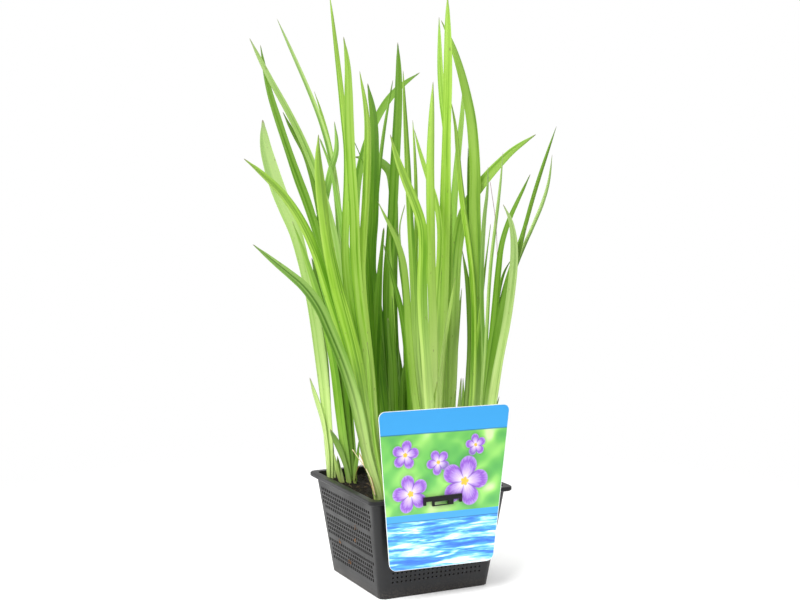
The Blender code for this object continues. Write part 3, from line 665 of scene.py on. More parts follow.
def scattered_piece(name, parts, finish, smooth=True):
    """Make one piece of many small parts, each with a tint of its own."""
    points, faces, tints = join_parts(parts)
    mesh = make_mesh(name, points, faces, smooth)
    write_attribute(mesh, "tint", np.stack([tints, tints, tints], 1))
    return add_piece(name, mesh, finish)


def loft(rings):
    """Return the points and faces of rings joined in order, with a cap at each end."""
    count = len(rings[0])
    faces = [tuple(reversed(range(count)))]
    for ring in range(len(rings) - 1):
        start = ring * count
        for corner in range(count):
            after = (corner + 1) % count
            faces.append((start + corner, start + after, start + count + after,
                          start + count + corner))
    faces.append(tuple(range((len(rings) - 1) * count, len(rings) * count)))
    return np.concatenate([np.asarray(ring, float) for ring in rings]), faces


def unit(vectors):
    return vectors / np.linalg.norm(vectors, axis=1)[:, None]


def tube(line, radii, sides=5):
    """Return the points and faces of a round strand along a line."""
    line = np.asarray(line, float)
    heading = unit(np.gradient(line, axis=0))
    steep = np.abs(heading[:, 2:]) > 0.9
    first = unit(np.cross(heading, np.where(steep, [[1.0, 0, 0]], [[0, 0, 1.0]])))
    second = np.cross(heading, first)
    turns = np.linspace(0, 2 * math.pi, sides, endpoint=False)
    return loft([spot + radius * (np.outer(np.cos(turns), one) + np.outer(np.sin(turns), two))
                 for spot, one, two, radius in zip(line, first, second, radii)])


def square_ring(half, level, radius):
    """Return the points of a square with round corners, anticlockwise from above."""
    points = []
    for quarter, (right, back) in enumerate([(1, 1), (-1, 1), (-1, -1), (1, -1)]):
        for step in range(CORNER_STEPS + 1):
            turn = (quarter + step / CORNER_STEPS) * math.pi / 2
            points.append((right * (half - radius) + radius * math.cos(turn),
                           back * (half - radius) + radius * math.sin(turn), level))
    return points


def lengths_along(points):
    """Return how far along its line each point lies."""
    return np.concatenate([[0], np.cumsum(np.linalg.norm(np.diff(points, axis=0), axis=1))])


def smooth_read(marks, values, wanted):
    """Read values that are given at rising marks along a smooth curve at the wanted marks."""
    slopes = np.gradient(values, marks, axis=0)
    index = np.clip(np.searchsorted(marks, wanted, side="right") - 1, 0, len(marks) - 2)
    span = (marks[index + 1] - marks[index])[:, None]
    along = (wanted - marks[index])[:, None] / span
    start, end = values[index], values[index + 1]
    leave, arrive = slopes[index] * span, slopes[index + 1] * span
    return ((1 + 2 * along) * (1 - along) ** 2 * start + along * (1 - along) ** 2 * leave
            + along ** 2 * (3 - 2 * along) * end + along ** 2 * (along - 1) * arrive)


def smooth_line(points, count):
    points = np.array(points)
    marks = lengths_along(points)
    return smooth_read(marks, points, np.linspace(0, marks[-1], count))


# Basket

def wall_half(level):
    """Return half the basket's outer side at a level."""
    top = RIM_HALF - bpy.context.scene.iris_basket.overhang
    return FOOT_HALF + (top - FOOT_HALF) * level / RIM_LEVEL


def basket_body():
    """Make the basket without its slots: walls, floor and rim in one profile around a square."""
    basket = bpy.context.scene.iris_basket
    under = RIM_LEVEL - basket.rim_drop
    edge = 0.45 * MM
    inner = RIM_HALF - basket.rim_width
    inside = basket.corner - basket.wall
    profile = [
        (wall_half(0) - edge, 0, basket.corner),
        (wall_half(edge), edge, basket.corner),
        (wall_half(under), under, basket.corner),
        (RIM_HALF - edge, under, basket.corner),
        (RIM_HALF, under + edge, basket.corner),
        (RIM_HALF, RIM_LEVEL - edge, basket.corner),
        (RIM_HALF - edge, RIM_LEVEL, basket.corner),
        (inner + edge / 2, RIM_LEVEL, inside),
        (inner, RIM_LEVEL - edge / 2, inside),
        (wall_half(under) - basket.wall, under - edge, inside),
        (wall_half(basket.wall) - basket.wall, basket.wall, inside),
    ]
    return make_mesh("basket_body", *loft([square_ring(*place) for place in profile]))


def slot_prism(middle, along, out, size=1.0):
    """Return one slot's cutter: a prism with clipped corners that narrows within the wall."""
    basket = bpy.context.scene.iris_basket
    depth = 3 * basket.wall
    wide, high = basket.slot_width / 2 * size, basket.slot_height / 2 * size
    clip = wide * 0.3
    outline = [(-wide, clip - high), (clip - wide, -high), (wide - clip, -high), (wide, clip - high),
               (wide, high - clip), (wide - clip, high), (clip - wide, high), (-wide, high - clip)]
    upward = out.cross(along)
    inside = basket.narrowing
    places = [(-depth, inside), (-basket.wall, inside), (basket.wall / 8, 1), (depth, 1)]
    return loft([[middle + (along * right + upward * rise) * spread + out * far
                  for right, rise in outline] for far, spread in places])


def slot_cutters():
    """Make the cutters for the rows of slots in the four walls and for those in the floor."""
    basket = bpy.context.scene.iris_basket
    parts = []
    for quarter in range(4):
        out = Vector((math.cos(quarter * math.pi / 2), math.sin(quarter * math.pi / 2), 0))
        along = UP.cross(out)
        size = basket.label_side if quarter % 2 else 1
        for band, row in np.ndindex(basket.bands, basket.rows):
            steps = band * (basket.rows - 1) + row
            down = basket.first_row + steps * basket.row_pitch
            down += band * (basket.strip + basket.slot_height) + basket.slot_height / 2
            level = RIM_LEVEL - down
            room = wall_half(level) - basket.margin - basket.slot_width / 2
            for column in range(basket.columns):
                place = (column - (basket.columns - 1) / 2) * basket.column_pitch
                if abs(place) < room:
                    middle = out * wall_half(level) + along * place + UP * level
                    parts.append((*slot_prism(middle, along, out, size), 0))
    reach = int((FOOT_HALF - basket.corner - basket.column_pitch) / (2 * basket.column_pitch))
    for column in range(-reach, reach + 1):
        for row in range(-reach, reach + 1):
            middle = Vector((column, row, 0)) * 2 * basket.column_pitch
            parts.append((*slot_prism(middle, Vector((1, 0, 0)), UP), 0))
    points, faces, _ = join_parts(parts)
    return make_mesh("basket_slots", points, faces)


def cut_away(body, cutter):
    """Return the body's mesh with the cutter's solids taken out of it."""
    solids = [bpy.data.objects.new(mesh.name, mesh) for mesh in (body, cutter)]
    for solid in solids:
        bpy.context.scene.collection.objects.link(solid)
    slots = solids[0].modifiers.new("slots", "BOOLEAN")
    slots.operation = "DIFFERENCE"
    slots.solver = "MANIFOLD"
    slots.object = solids[1]
    ready = solids[0].evaluated_get(bpy.context.evaluated_depsgraph_get())
    result = bpy.data.meshes.new_from_object(ready)
    for solid in solids:
        bpy.data.objects.remove(solid, do_unlink=True)
    return result


def mark_depth(mesh):
    """Note how deep below the walls' outer faces each point lies, from 0 to 1, for the painted shade in
    the slots.
    """
    basket = bpy.context.scene.iris_basket
    under = RIM_LEVEL - basket.rim_drop
    depths = np.zeros((len(mesh.vertices), 3))
    for index, vert in enumerate(mesh.vertices):
        x, y, z = vert.co
        in_wall = basket.wall / 10 < z < under - basket.wall / 10
        flat = (wall_half(z) if in_wall else RIM_HALF) - basket.corner
        below = basket.corner - math.hypot(max(abs(x) - flat, 0), max(abs(y) - flat, 0))
        if in_wall:
            depths[index] = min(max(below / basket.wall, 0), 1)
        # The rim's inner edge takes a fixed depth, so that the finish paints shade there too
        elif RIM_LEVEL > z >= under and below > basket.rim_width - basket.wall:
            depths[index] = 0.6
    write_attribute(mesh, "depth", depths)


class IRIS_OT_basket(bpy.types.Operator):
    """Replace the basket's plain solid by one with a rim and rows of slots"""
    bl_idname = "iris.basket"
    bl_label = "Basket"

    def execute(self, context):
        mesh = cut_away(basket_body(), slot_cutters())
        mesh.set_sharp_from_angle(angle=math.radians(35))
        mark_depth(mesh)
        piece = add_piece("slotted_basket", mesh, plastic_finish())
        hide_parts("pot")
        return {"FINISHED"}


# Peat

PEAT_TOP = SOIL_HIGH[2] - 1.2 * MM
PEAT_LUMP = 8 * MM
PEAT_GRAIN = 1.7 * MM

# The sides of the block: how far in from the wall, how rough, and in how many rings
SIDE_GAP = 0.35 * MM
SIDE_LUMP = 3 * MM
SIDE_RELIEF = 1.1 * MM
SIDE_RINGS = 30


def peat_level(x, y):
    """Return the height of the peat's surface, heaped a little toward the back left."""
    relief = bpy.context.scene.iris_peat.relief
    spot = Vector((x, y, 0))
    lumps = noise.fractal(spot / PEAT_LUMP, 0.7, 2.1, 4)
    grain = noise.fractal(spot / PEAT_GRAIN, 0.8, 2.2, 3)
    heap = (y - x) / RIM_HALF
    return PEAT_TOP + relief * (lumps * 0.9 + grain * 0.3 + heap * 0.35)


def inside_square(across, back, half, radius):
    """Move a point of a sharp-cornered square into the same square with round corners."""
    flat = half - radius
    right, deep = abs(across) - flat, abs(back) - flat
    if right > 0 and deep > 0:
        pull = max(right, deep) / math.hypot(right, deep)
        across = math.copysign(flat + right * pull, across)
        back = math.copysign(flat + deep * pull, back)
    return across, back


def peat_block():
    """Make the block of peat: a lumpy surface and crumbly sides that fill the basket."""
    peat = bpy.context.scene.iris_peat
    basket = bpy.context.scene.iris_basket
    gap = basket.wall + SIDE_GAP
    top_half = wall_half(SOIL_HIGH[2]) - gap
    bm = bmesh.new()
    bmesh.ops.create_grid(bm, x_segments=peat.cells, y_segments=peat.cells, size=1)
    for vert in bm.verts:
        x, y = inside_square(vert.co.x * top_half, vert.co.y * top_half, top_half,
                             basket.corner - basket.wall)
        vert.co = (x, y, peat_level(x, y))
    edges = [edge for edge in bm.edges if edge.is_boundary]
    for level in np.linspace(SOIL_LOW[2], SOIL_HIGH[2] - 3 * MM, SIDE_RINGS)[::-1]:
        made = bmesh.ops.extrude_edge_only(bm, edges=edges)["geom"]
        edges = [part for part in made if isinstance(part, bmesh.types.BMEdge)]
        for vert in {part for part in made if isinstance(part, bmesh.types.BMVert)}:
            x, y, _ = vert.co
            rough = abs(noise.fractal(Vector((x, y, level)) / SIDE_LUMP, 0.8, 2.1, 3)) * SIDE_RELIEF
            shrink = (wall_half(level) - gap - rough) / max(abs(x), abs(y), top_half * 0.97)
            vert.co = (x * shrink, y * shrink, level)
    bmesh.ops.edgeloop_fill(bm, edges=edges)
    # Extruding gives the faces in an order that varies, and sorting them gives one that doesn't
    bm.verts.index_update()
    corners = {face: [vert.index for vert in face.verts] for face in bm.faces}
    bm.faces.sort(key=lambda face: min(corners[face]) * len(bm.verts) + max(corners[face]))
    return finished_mesh(bm, bpy.data.meshes.new("peat_block"))


def peat_spots(chance, count):
    """Return random places on the peat's surface, in from the basket's walls."""
    basket = bpy.context.scene.iris_basket
    half = wall_half(SOIL_HIGH[2]) - basket.wall - 1.2 * MM
    spots = []
    for across, back in chance.uniform(-half, half, (count, 2)):
        x, y = inside_square(across, back, half, basket.corner)
        spots.append(Vector((x, y, peat_level(x, y))))
    return spots


def ball():
    """Return the points and faces of a ball of radius one."""
    bm = bmesh.new()
    bmesh.ops.create_icosphere(bm, subdivisions=1, radius=1)
    points = np.array([vert.co for vert in bm.verts])
    faces = [tuple(vert.index for vert in face.verts) for face in bm.faces]
    bm.free()
    return points, faces


BALL_POINTS, BALL_FACES = ball()


def lump(chance, middle, size, flatness):
    """Return one irregular crumb or chip: a distorted ball of about that size."""
    points = BALL_POINTS * chance.uniform(0.72, 1.12, (len(BALL_POINTS), 1))
    points = points * size * np.array([1, chance.uniform(0.45, 0.9), flatness])
    turn = chance.uniform(0, 2 * math.pi)
    lean = chance.uniform(-0.5, 0.5)
    spin = np.array([[math.cos(turn), -math.sin(turn), 0], [math.sin(turn), math.cos(turn), 0],
                     [0, 0, 1]])
    tilt = np.array([[1, 0, 0], [0, math.cos(lean), -math.sin(lean)],
                     [0, math.sin(lean), math.cos(lean)]])
    return points @ tilt.T @ spin.T + np.array(middle), BALL_FACES


def strand(chance, start, reach, radius, rise):
    """Return one short fibre that wanders over the surface from its start."""
    bends = 6
    heading = chance.uniform(0, 2 * math.pi)
    line = [np.array(start)]
    for _ in range(bends):
        heading += chance.normal(0, 0.55)
        spot = line[-1] + np.array([math.cos(heading), math.sin(heading), 0]) * reach / bends
        spot[2] = peat_level(spot[0], spot[1]) + radius + rise * chance.uniform(0, 1)
        line.append(spot)
    return tube(line, radius * np.linspace(1, 0.5, len(line)))


class IRIS_OT_peat(bpy.types.Operator):
    """Replace the peat's plain solid by a crumbly block with loose crumbs, bark and root fibres"""
    bl_idname = "iris.peat"
    bl_label = "Peat"

    def execute(self, context):
        peat = context.scene.iris_peat
        chance = np.random.default_rng(SEED)
        damp = peat_finish("damp_peat", np.array(peat.peat) * 0.75)
        block = add_piece("peat_block", peat_block(), damp)
        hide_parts("soil")
        crumbs = [(*lump(chance, spot, size * MM, 0.8), chance.uniform(0, 1))
                  for spot, size in zip(peat_spots(chance, peat.crumbs),
                                        chance.gamma(2.2, 0.22, peat.crumbs) + 0.25)]
        chips = [(*lump(chance, spot, size * MM, 0.35), chance.uniform(0.3, 1))
                 for spot, size in zip(peat_spots(chance, peat.chips),
                                       chance.uniform(0.9, 2.2, peat.chips))]
        fibres = [(*strand(chance, spot, reach * MM, radius * MM, 0.7 * MM), chance.uniform(0, 1))
                  for spot, reach, radius in zip(peat_spots(chance, peat.fibres),
                                                 chance.uniform(3, 12, peat.fibres),
                                                 chance.uniform(0.07, 0.2, peat.fibres))]
        scattered_piece("peat_crumbs", crumbs, peat_finish("peat_crumb", CRUMB))
        scattered_piece("bark_chips", chips, peat_finish("bark_chip", BARK), smooth=False)
        scattered_piece("root_fibres", fibres, root_finish())
        return {"FINISHED"}


# Leaves

def blade_rings(node):
    """Read a packed blade's sections, foot first: their middles, and their edges from the middle."""
    bm = bmesh.new()
    bm.from_mesh(frame["nodes"][node].data)
    bmesh.ops.remove_doubles(bm, verts=bm.verts, dist=MM / 1000)
    ring = sorted(bm.verts, key=lambda vert: vert.co.z)[:4]
    seen, middles, sides = set(), [], []
    while ring:
        seen.update(ring)
        spots = sorted(tuple(vert.co) for vert in ring)
        _, left, right = max((math.dist(one, two), one, two)
                             for one in spots for two in spots if one < two)
        side = (np.array(right) - np.array(left)) / 2
        if sides and np.dot(side, sides[-1]) < 0:
            side = -side
        middles.append((np.array(right) + np.array(left)) / 2)
        sides.append(side)
        ring = {other for vert in ring for edge in vert.link_edges for other in edge.verts} - seen
    bm.free()
    return np.array(middles), np.array(sides)


def wander(chance, stations, pitch):
    """Return a smooth random curve between -1 and 1 at the stations, with bends a pitch apart."""
    knots = np.arange(stations[0] - pitch, stations[-1] + 3 * pitch, pitch)
    values = chance.uniform(-1, 1, (len(knots), 1))
    return smooth_read(knots, values, stations)[:, 0]


# Lengths from a blade's tip: where its cross-sections stand closer, and where it rounds off, thins
# and flattens. Lengths from its foot: where it is narrower and flatter
TIP_ZONE = 14 * MM
TIP_ROUND = 2.2 * MM
TIP_THIN = 9 * MM
TIP_FLAT = 60 * MM
FOOT_ZONE = 32 * MM
FOOT_FLAT = 20 * MM

# From one bend of a blade's outline to the next, and from one ripple of its edges
OUTLINE_BENDS = 34 * MM
RIPPLES = 21 * MM

# A blade's cross-section, once around: places from one edge to the other, above and then below
SIDE_POINTS = 11
FACE_ACROSS = np.sin(np.linspace(-math.pi / 2, math.pi / 2, SIDE_POINTS))
OUTWARD = np.concatenate([FACE_ACROSS, FACE_ACROSS[-2:0:-1]])
FACING = np.concatenate([np.ones(SIDE_POINTS), -np.ones(SIDE_POINTS - 2)])

# Its swelling there: thin at the edges, with a midrib
SWELL = (1 - np.abs(OUTWARD) ** 2.4) ** 0.7 * (1 + 0.7 * np.exp(-(OUTWARD / 0.14) ** 2))


def blade_stations(total, step):
    """Return how far up the cross-sections of a blade stand, closer together at its tip."""
    tip_zone = min(TIP_ZONE, total / 3)
    plain_end = total - tip_zone
    closing = 1 - np.linspace(1, 0, 13)[1:] ** 1.6
    return np.concatenate([np.linspace(0, plain_end, max(3, int(plain_end / step))),
                           plain_end + tip_zone * closing])


def blade(name, middles, sides, tone, pallor, chance, fold=None, slender=1.0, crease=0.0, dim=0.0):
    """Make one leaf blade around its middle line, from its edges' places beside that line.

    A fold that is given opens toward the camera, and otherwise chance picks its depth and side.
    """
    leaves = bpy.context.scene.iris_leaves
    marks = lengths_along(middles)
    total = marks[-1]
    stations = blade_stations(total, leaves.step)
    spine = smooth_read(marks, middles, stations)
    side = smooth_read(marks, sides, stations)
    half = np.linalg.norm(side, axis=1)
    heading = unit(np.gradient(spine, stations, axis=0))
    normal = unit(np.cross(heading, side / half[:, None]))
    sideways = np.cross(normal, heading)

    left = total - stations
    bends = wander(chance, stations, OUTLINE_BENDS) * np.clip(half / (4 * MM), 0, 1)
    half = half + leaves.wave * bends
    half = half * (1 - (1 - slender) * np.clip(stations / total * 2 - 1, 0, 1))
    half = half * (1 - (1 - leaves.foot_width) * np.clip(1 - stations / FOOT_ZONE, 0, 1))
    half = half * np.clip(left / TIP_ROUND, 0.004, 1) ** 0.5
    rise = np.clip(stations / (0.3 * total), 0, 1)[:, None]
    thick = (leaves.foot_thickness * (1 - rise) + leaves.blade_thickness * rise) / 2
    thick = thick * np.clip(left / TIP_THIN, 0.12, 1)[:, None] ** 0.6
    thick = np.minimum(thick, half[:, None] * 0.6)

    if fold is None:
        fold = leaves.fold * chance.uniform(0.5, 1.3) * chance.choice([-1, 1])
        bend = 1.35
    else:
        fold = -fold if np.mean(normal @ np.array(NEARER)) < 0 else fold
        bend = 1.1
    opening = np.clip(stations / FOOT_FLAT, 0, 1) * (0.4 + 0.6 * np.clip(left / TIP_FLAT, 0, 1))
    hollow = (fold * half * opening)[:, None] * (np.abs(OUTWARD) ** bend - 0.45)
    ripple = wander(chance, stations, RIPPLES) * leaves.wave * np.clip(half / (5 * MM), 0, 1)
    hollow += ripple[:, None] * OUTWARD * np.abs(OUTWARD)
    height = hollow + thick * SWELL * FACING
    rings = (spine[:, None] + sideways[:, None] * (half[:, None] * OUTWARD)[:, :, None]
             + normal[:, None] * height[:, :, None])

    mesh = make_mesh(name, *loft(list(rings)))
    mesh.set_sharp_from_angle(angle=math.radians(70))
    places = np.broadcast_arrays(OUTWARD, stations[:, None], left[:, None])
    write_attribute(mesh, "blade", np.stack(places, 2))
    veins = max(2, np.percentile(half, 80) / leaves.vein_pitch)
    tint = chance.uniform(0, 1)
    # form: how much painted crease shade, how much darker the blade is, and nothing
    for kind, values in [("look", (tint, veins, pallor)), ("form", (crease, dim, 0))]:
        write_attribute(mesh, kind, np.tile(values, (len(mesh.vertices), 1)))
    return add_piece(name, mesh, leaf_finish(tone))


class IRIS_OT_leaves(bpy.types.Operator):
    """Replace each leaf's plain solid by a thin blade with a midrib, a fold and a pointed tip"""
    bl_idname = "iris.leaves"
    bl_label = "Leaves"

    def execute(self, context):
        chance = np.random.default_rng(SEED + 1)
        for node in LEAF_NODES:
            own = BLADES.get(node, Own())
            pallor = SHOOT_PALLOR[node.split("_leaf_")[0]] if own.pallor is None else own.pallor
            piece = blade(node + "_blade", *blade_rings(node), own.tone or SLOTS[node], pallor, chance,
                          own.fold, own.slender, float(own.fold is not None), own.dim)
            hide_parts(node)
        return {"FINISHED"}


# Young leaves and dead bits

# Young leaves: tone, width, the foot's place across and nearer, how much nearer the top is than the
# basket's middle, and the line's places across and up as seen, foot first, all in millimetres
YOUNG = {
    "sprout": ("leaf_fresh", 3.4, (-42.5, -11), -9, [(-44.6, 65.9), (-47.8, 81)]),
    "sprout_low": ("leaf_pale", 2.6, (-41.5, -9), -6, [(-42, 63), (-43.5, 72)]),
    "low_dark": ("leaf_deep", 3.2, (-34.5, -4), -4, [(-33.9, 70.9), (-32.7, 78.5), (-31.4, 89.9)]),
    "tall_blue": ("leaf_blue", 6.5, (-21, 13), 6,
                  [(-23, 75), (-30, 140), (-38, 200), (-44.6, 239.8), (-49.7, 263.8), (-55.6, 279.6)]),
    "tall_thin": ("leaf_deep", 3.0, (-17.5, 14), 8,
                  [(-18.5, 75), (-22, 140), (-26.5, 220), (-30.1, 268.9), (-34.3, 278.1)]),
    "inner_thin": ("leaf_deep", 3.2, (-8, 3), 0, [(-7.8, 75), (-8.1, 108.9), (-10.6, 181)]),
    "inner_low": ("leaf_deep", 4.0, (-6, -8), -6,
                  [(-5.6, 75), (-5, 118.4), (-4.3, 127.8), (-1.2, 145.6)]),
    "inner_dark": ("leaf_deep", 6.5, (0.5, -18), -20,
                   [(-0.6, 75), (-0.6, 146.8), (-1.8, 178.5), (-5.6, 203.7), (-7.5, 224)]),
    "inner_curl": ("leaf_pale", 3.6, (3, -14), -18,
                   [(2.5, 75), (2, 153.2), (-0.6, 178.5), (-5, 206.9), (-5.6, 225.9), (-2.5, 238.5)]),
    "back_dark": ("leaf_deep", 7.5, (-16, -10), -14,
                  [(-20, 75), (-22, 115.2), (-20.7, 159.5), (-18.2, 197.4), (-15.7, 224)]),
    "back_mid": ("leaf_mid", 5.5, (-9, -17), -20,
                 [(-9.6, 75), (-10.6, 159.5), (-11.3, 191.1), (-11.9, 218.9)]),
    "back_low": ("leaf_deep", 7.0, (-6, -9), -10,
                 [(-7, 75), (-8.1, 112), (-10.6, 140.5), (-13.2, 167)]),
    "middle_dark": ("leaf_deep", 5.5, (6, 8), 2,
                    [(2.5, 75), (2, 102.6), (0.7, 127.9), (-1.8, 153.1), (-5.6, 175.3),
                     (-10.6, 194.3), (-15.7, 213.2)]),
    "middle_light": ("leaf_pale", 4.0, (10.5, 7), 4, [(10, 75), (9.6, 110), (8.2, 148.1), (6.4, 174)]),
    "middle_low": ("leaf_fresh", 3.6, (14.5, 20), 20, [(14.8, 75), (15.8, 112), (17.9, 126.6)]),
    "right_low": ("leaf_mid", 3.2, (28, -6), -4, [(28.2, 75), (28.6, 100), (29.5, 120.9)]),
    "gap_low": ("leaf_pale", 5.0, (30.5, -9), -8, [(30.5, 75), (31.5, 100), (33.1, 129)]),
    "right_thin": ("leaf_mid", 3.0, (37.5, -15), -18, [(38, 75), (43, 150), (48, 200), (51.2, 226.5)]),
    "corner_low": ("leaf_fresh", 3.4, (47, 4), 2, [(48.5, 75), (53, 100), (57.3, 117.1)]),
}

# Round dead bits: finish, radius, how much nearer they start and end, and places across and up as
# seen, all in millimetres
STRANDS = {
    "dead_straw": (STRAW, 0.44, 42, 42,
                   [(-21.3, 53), (-24.5, 64.5), (-27.6, 70.9), (-32, 77.2), (-35.8, 82.9)]),
    "root_arc": (RUST, 0.33, -8, 32, [(-34.1, 61.5), (-33.6, 66.4), (-32.8, 69.6), (-31.4, 72.2),
                                      (-29.4, 73.4), (-27.5, 73)]),
    "withered_leaf": (THREAD, 0.3, 4, 4,
                      [(47.5, 75), (52, 150), (55.4, 200.6), (54.5, 225.3), (50.7, 252.5)]),
}
SHEATH_SEEN = [(-21.5, 53), (-23.2, 60), (-25.7, 67.8), (-28.6, 74.5), (-31.4, 80.4)]
SHEATH_NEARER = 40
STRAND_STEPS = 28

# Soil and bits of root that poke from the left wall's slots: places back and up in millimetres
WALL_DIRT = [(-8.5, 31), (17, 24), (4, 13.5), (-13, 40.5)]


def seen_place(across, level, nearer):
    """Return the point a given way nearer that the camera sees at a place in the middle plane."""
    toward = nearer / EYE_NEARER
    across += (AIM_ACROSS - across) * toward
    level += (EYE_LEVEL - level) * toward
    return np.array(ACROSS * across + UP * level + NEARER * nearer)


def seen_line(seen, nearer, top):
    """Return the points of a line that is seen at given millimetre places, and its top's nearness."""
    levels = [level for _, level in seen]
    low, high = min(levels), max(levels)
    return [seen_place(across * MM, level * MM,
                       (nearer + (top - nearer) * (level - low) / (high - low)) * MM)
            for across, level in seen]


def young_blade(name, tone, width, foot, top, seen, chance):
    across, nearer = foot
    start = ACROSS * across * MM + NEARER * nearer * MM + UP * (SOIL_HIGH[2] - 5 * MM)
    line = smooth_line([np.array(start), *seen_line(seen, nearer, top)], 14)
    along = np.linspace(0, 1, len(line))
    turn = chance.uniform(-0.5, 0.5)
    broad = np.array(ACROSS * math.cos(turn) + NEARER * math.sin(turn))
    taper = np.clip(1.12 - along, 0.1, 0.55) / 0.55 * (0.75 + 0.25 * np.sin(along * math.pi))
    sides = np.outer(taper, broad) * width / 2 * MM
    return blade(name, line, sides, tone, 0.1 if tone == "leaf_deep" else 0.45, chance, fold=0.25)


def papery_strip(name, seen, nearer, width, finish):
    """Make a thin curled strip of dead sheath along a line."""
    line = smooth_line(seen_line(seen, nearer, nearer), 18)
    heading = unit(np.gradient(line, axis=0))
    broad = unit(np.cross(heading, np.array(NEARER)))
    curl = np.cross(broad, heading)
    turns = np.linspace(-1.1, 1.1, 9)
    along = np.linspace(0, 1, len(line))
    half = width / 2 * (0.35 + 0.65 * np.sin(np.clip(along * 1.15, 0, 1) * math.pi) ** 0.6)
    rings = [[spot + far * (math.sin(turn) * one + (math.cos(turn) - 0.8) * two)
              for far, face in ((reach, turns), (reach - 0.12 * MM, turns[::-1])) for turn in face]
             for spot, one, two, reach in zip(line, broad, curl, half)]
    return scattered_piece(name, [(*loft(rings), 0.5)], finish)


class IRIS_OT_small(bpy.types.Operator):
    """Add the young leaves, and the dead straw, sheath and roots"""
    bl_idname = "iris.small"
    bl_label = "Small leaves and dead bits"

    def execute(self, context):
        chance = np.random.default_rng(SEED + 2)
        for name, young in YOUNG.items():
            young_blade("young_" + name, *young, chance)
        papery_strip("dead_sheath", SHEATH_SEEN, SHEATH_NEARER, 2.3 * MM, fibre_finish(*SHEATH))
        for name, (finish, radius, nearer, top, seen) in STRANDS.items():
            line = smooth_line(seen_line(seen, nearer, top), STRAND_STEPS)
            bends = wander(chance, np.linspace(0, 1, STRAND_STEPS), 0.12)
            radii = radius * MM * (1 + 0.25 * bends) * np.linspace(1, 0.55, STRAND_STEPS)
            strip = (*tube(line, radii, 7), 0.6)
            scattered_piece(name, [strip], fibre_finish(*finish))
        parts = []
        for back, level in WALL_DIRT:
            middle = np.array([-wall_half(level * MM), back * MM, level * MM])
            for _ in range(7):
                spot = middle + chance.normal(0, 0.8 * MM, 3) * [0.35, 1, 1]
                parts.append((*lump(chance, spot, chance.uniform(0.3, 0.75) * MM, 0.7),
                              chance.uniform(0.2, 1)))
            for _ in range(3):
                line = middle + np.cumsum(chance.normal(0, 0.5 * MM, (6, 3)), axis=0) * [0.4, 1, 1]
                parts.append((*tube(line, np.full(6, 0.13 * MM)), chance.uniform(0.4, 1)))
        scattered_piece("wall_dirt", parts, fibre_finish(*DIRT))
        return {"FINISHED"}


# Label

class IRIS_OT_label(bpy.types.Operator):
    """Print the label card, and round the clip's edges"""
    bl_idname = "iris.label"
    bl_label = "Label and clip"

    def execute(self, context):
        card = frame["nodes"]["label_card"]
        clip = frame["nodes"]["label_clip"]
        for node, finish in [(card, label_finish()), (clip, clip_finish())]:
            for slot in node.material_slots:
                slot.material = finish
        bevel = clip.modifiers.new("rounded_edges", "BEVEL")
        bevel.width = 0.25 * MM
        bevel.segments = 2
        return {"FINISHED"}


# Stage

def place_in_studio(name, data, place, aim):
    """Stand a lamp or the camera at a place, turned toward its aim."""
    thing = bpy.data.objects.new(name, data)
    thing.location = place
    thing.rotation_euler = (aim - place).to_track_quat("-Z", "Y").to_euler()
    bpy.context.scene.collection.objects.link(thing)
    return thing


def add_light(name, size, watts, place):
    light = bpy.data.lights.new(name, "AREA")
    light.size = size
    light.energy = watts
    return place_in_studio(name, light, place, LAMP_AIM)


def studio_world(strength):
    """Make the even studio light, behind a backdrop that the camera sees as plain white."""
    world = bpy.data.worlds.new("studio")
    world.use_nodes = True
    sky = Nodes(world.node_tree)
    x, y, z = sky.place("Generated")
    bright = sky.smooth(y * 0.55 - x * 0.5 + z * 0.6, -0.75, 0.8)
    light = sky.coats(np.array(SKY_DIM) * strength, (bright, np.array(SKY_LIT) * strength))
    seen = sky.node("ShaderNodeLightPath", output="Is Camera Ray")
    background = world.node_tree.nodes["Background"]
    sky.feed(background.inputs["Color"], sky.coats(light, (seen, (1, 1, 1))))
    return world


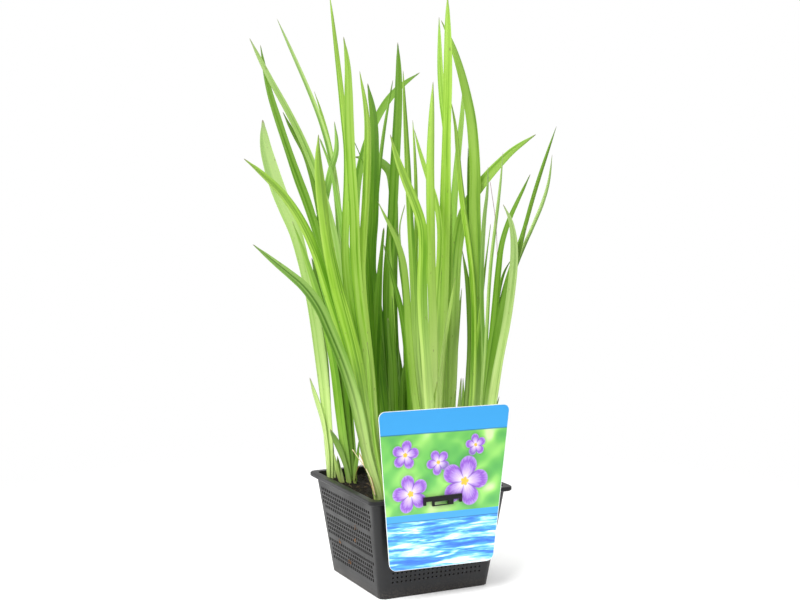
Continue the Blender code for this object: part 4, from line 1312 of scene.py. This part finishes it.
class IRIS_OT_stage(bpy.types.Operator):
    """Set up the floor, the studio light and the camera"""
    bl_idname = "iris.stage"
    bl_label = "Stage"

    def execute(self, context):
        scene = context.scene
        stage = scene.iris_stage
        right = Vector((math.cos(stage.turn), -math.sin(stage.turn), 0))
        toward = Vector((-math.sin(stage.turn), -math.cos(stage.turn), 0))
        aim = right * stage.aim_across + UP * stage.aim_level
        camera = bpy.data.cameras.new("camera")
        camera.lens = stage.lens
        out = toward * math.cos(stage.rise) + UP * math.sin(stage.rise)
        scene.camera = place_in_studio("camera", camera, aim + stage.distance * out, aim)

        corners = [(-0.5, -0.5, 0), (0.5, -0.5, 0), (0.5, 0.5, 0), (-0.5, 0.5, 0)]
        ground = make_mesh("studio_floor", corners, [(0, 1, 2, 3)])
        ground.materials.append(floor_finish())
        floor = bpy.data.objects.new("studio_floor", ground)
        scene.collection.objects.link(floor)

        scene.world = studio_world(stage.sky)
        for name, (size, part, (near, beside, high)) in LAMPS.items():
            place = toward * near + right * beside + UP * high
            lamp = add_light(name, size, stage.key * part, place)
            # The edge light would make white flecks on the blades' thin margins
            lamp.visible_glossy = name != "edge"
        scene.view_settings.view_transform = "Standard"
        return {"FINISHED"}


# Panel

STEPS = [
    (IRIS_OT_basket, "iris_basket", BasketSettings),
    (IRIS_OT_peat, "iris_peat", PeatSettings),
    (IRIS_OT_leaves, "iris_leaves", LeafSettings),
    (IRIS_OT_small, None, None),
    (IRIS_OT_label, "iris_label", LabelSettings),
    (IRIS_OT_stage, "iris_stage", StageSettings),
]


class IRIS_PT_panel(bpy.types.Panel):
    """Sizes and colours of the potted iris, and a button for each group of pieces"""
    bl_idname = "IRIS_PT_panel"
    bl_label = "Potted iris"
    bl_space_type = "VIEW_3D"
    bl_region_type = "UI"
    bl_category = "Iris"

    def draw(self, context):
        for operator, place, group in STEPS:
            box = self.layout.box()
            for name in group.__annotations__ if group else ():
                box.prop(getattr(context.scene, place), name)
            box.operator(operator.bl_idname)


def register():
    for operator, place, group in STEPS:
        bpy.utils.register_class(operator)
        if group:
            bpy.utils.register_class(group)
            setattr(bpy.types.Scene, place, PointerProperty(type=group))
    bpy.utils.register_class(IRIS_PT_panel)


def unregister():
    bpy.utils.unregister_class(IRIS_PT_panel)
    for operator, place, group in reversed(STEPS):
        if group:
            delattr(bpy.types.Scene, place)
            bpy.utils.unregister_class(group)
        bpy.utils.unregister_class(operator)


def main():
    register()
    for operator in (bpy.ops.iris.basket, bpy.ops.iris.peat, bpy.ops.iris.leaves, bpy.ops.iris.small,
                     bpy.ops.iris.label, bpy.ops.iris.stage):
        operator()


if __name__ == "__main__":
    main()
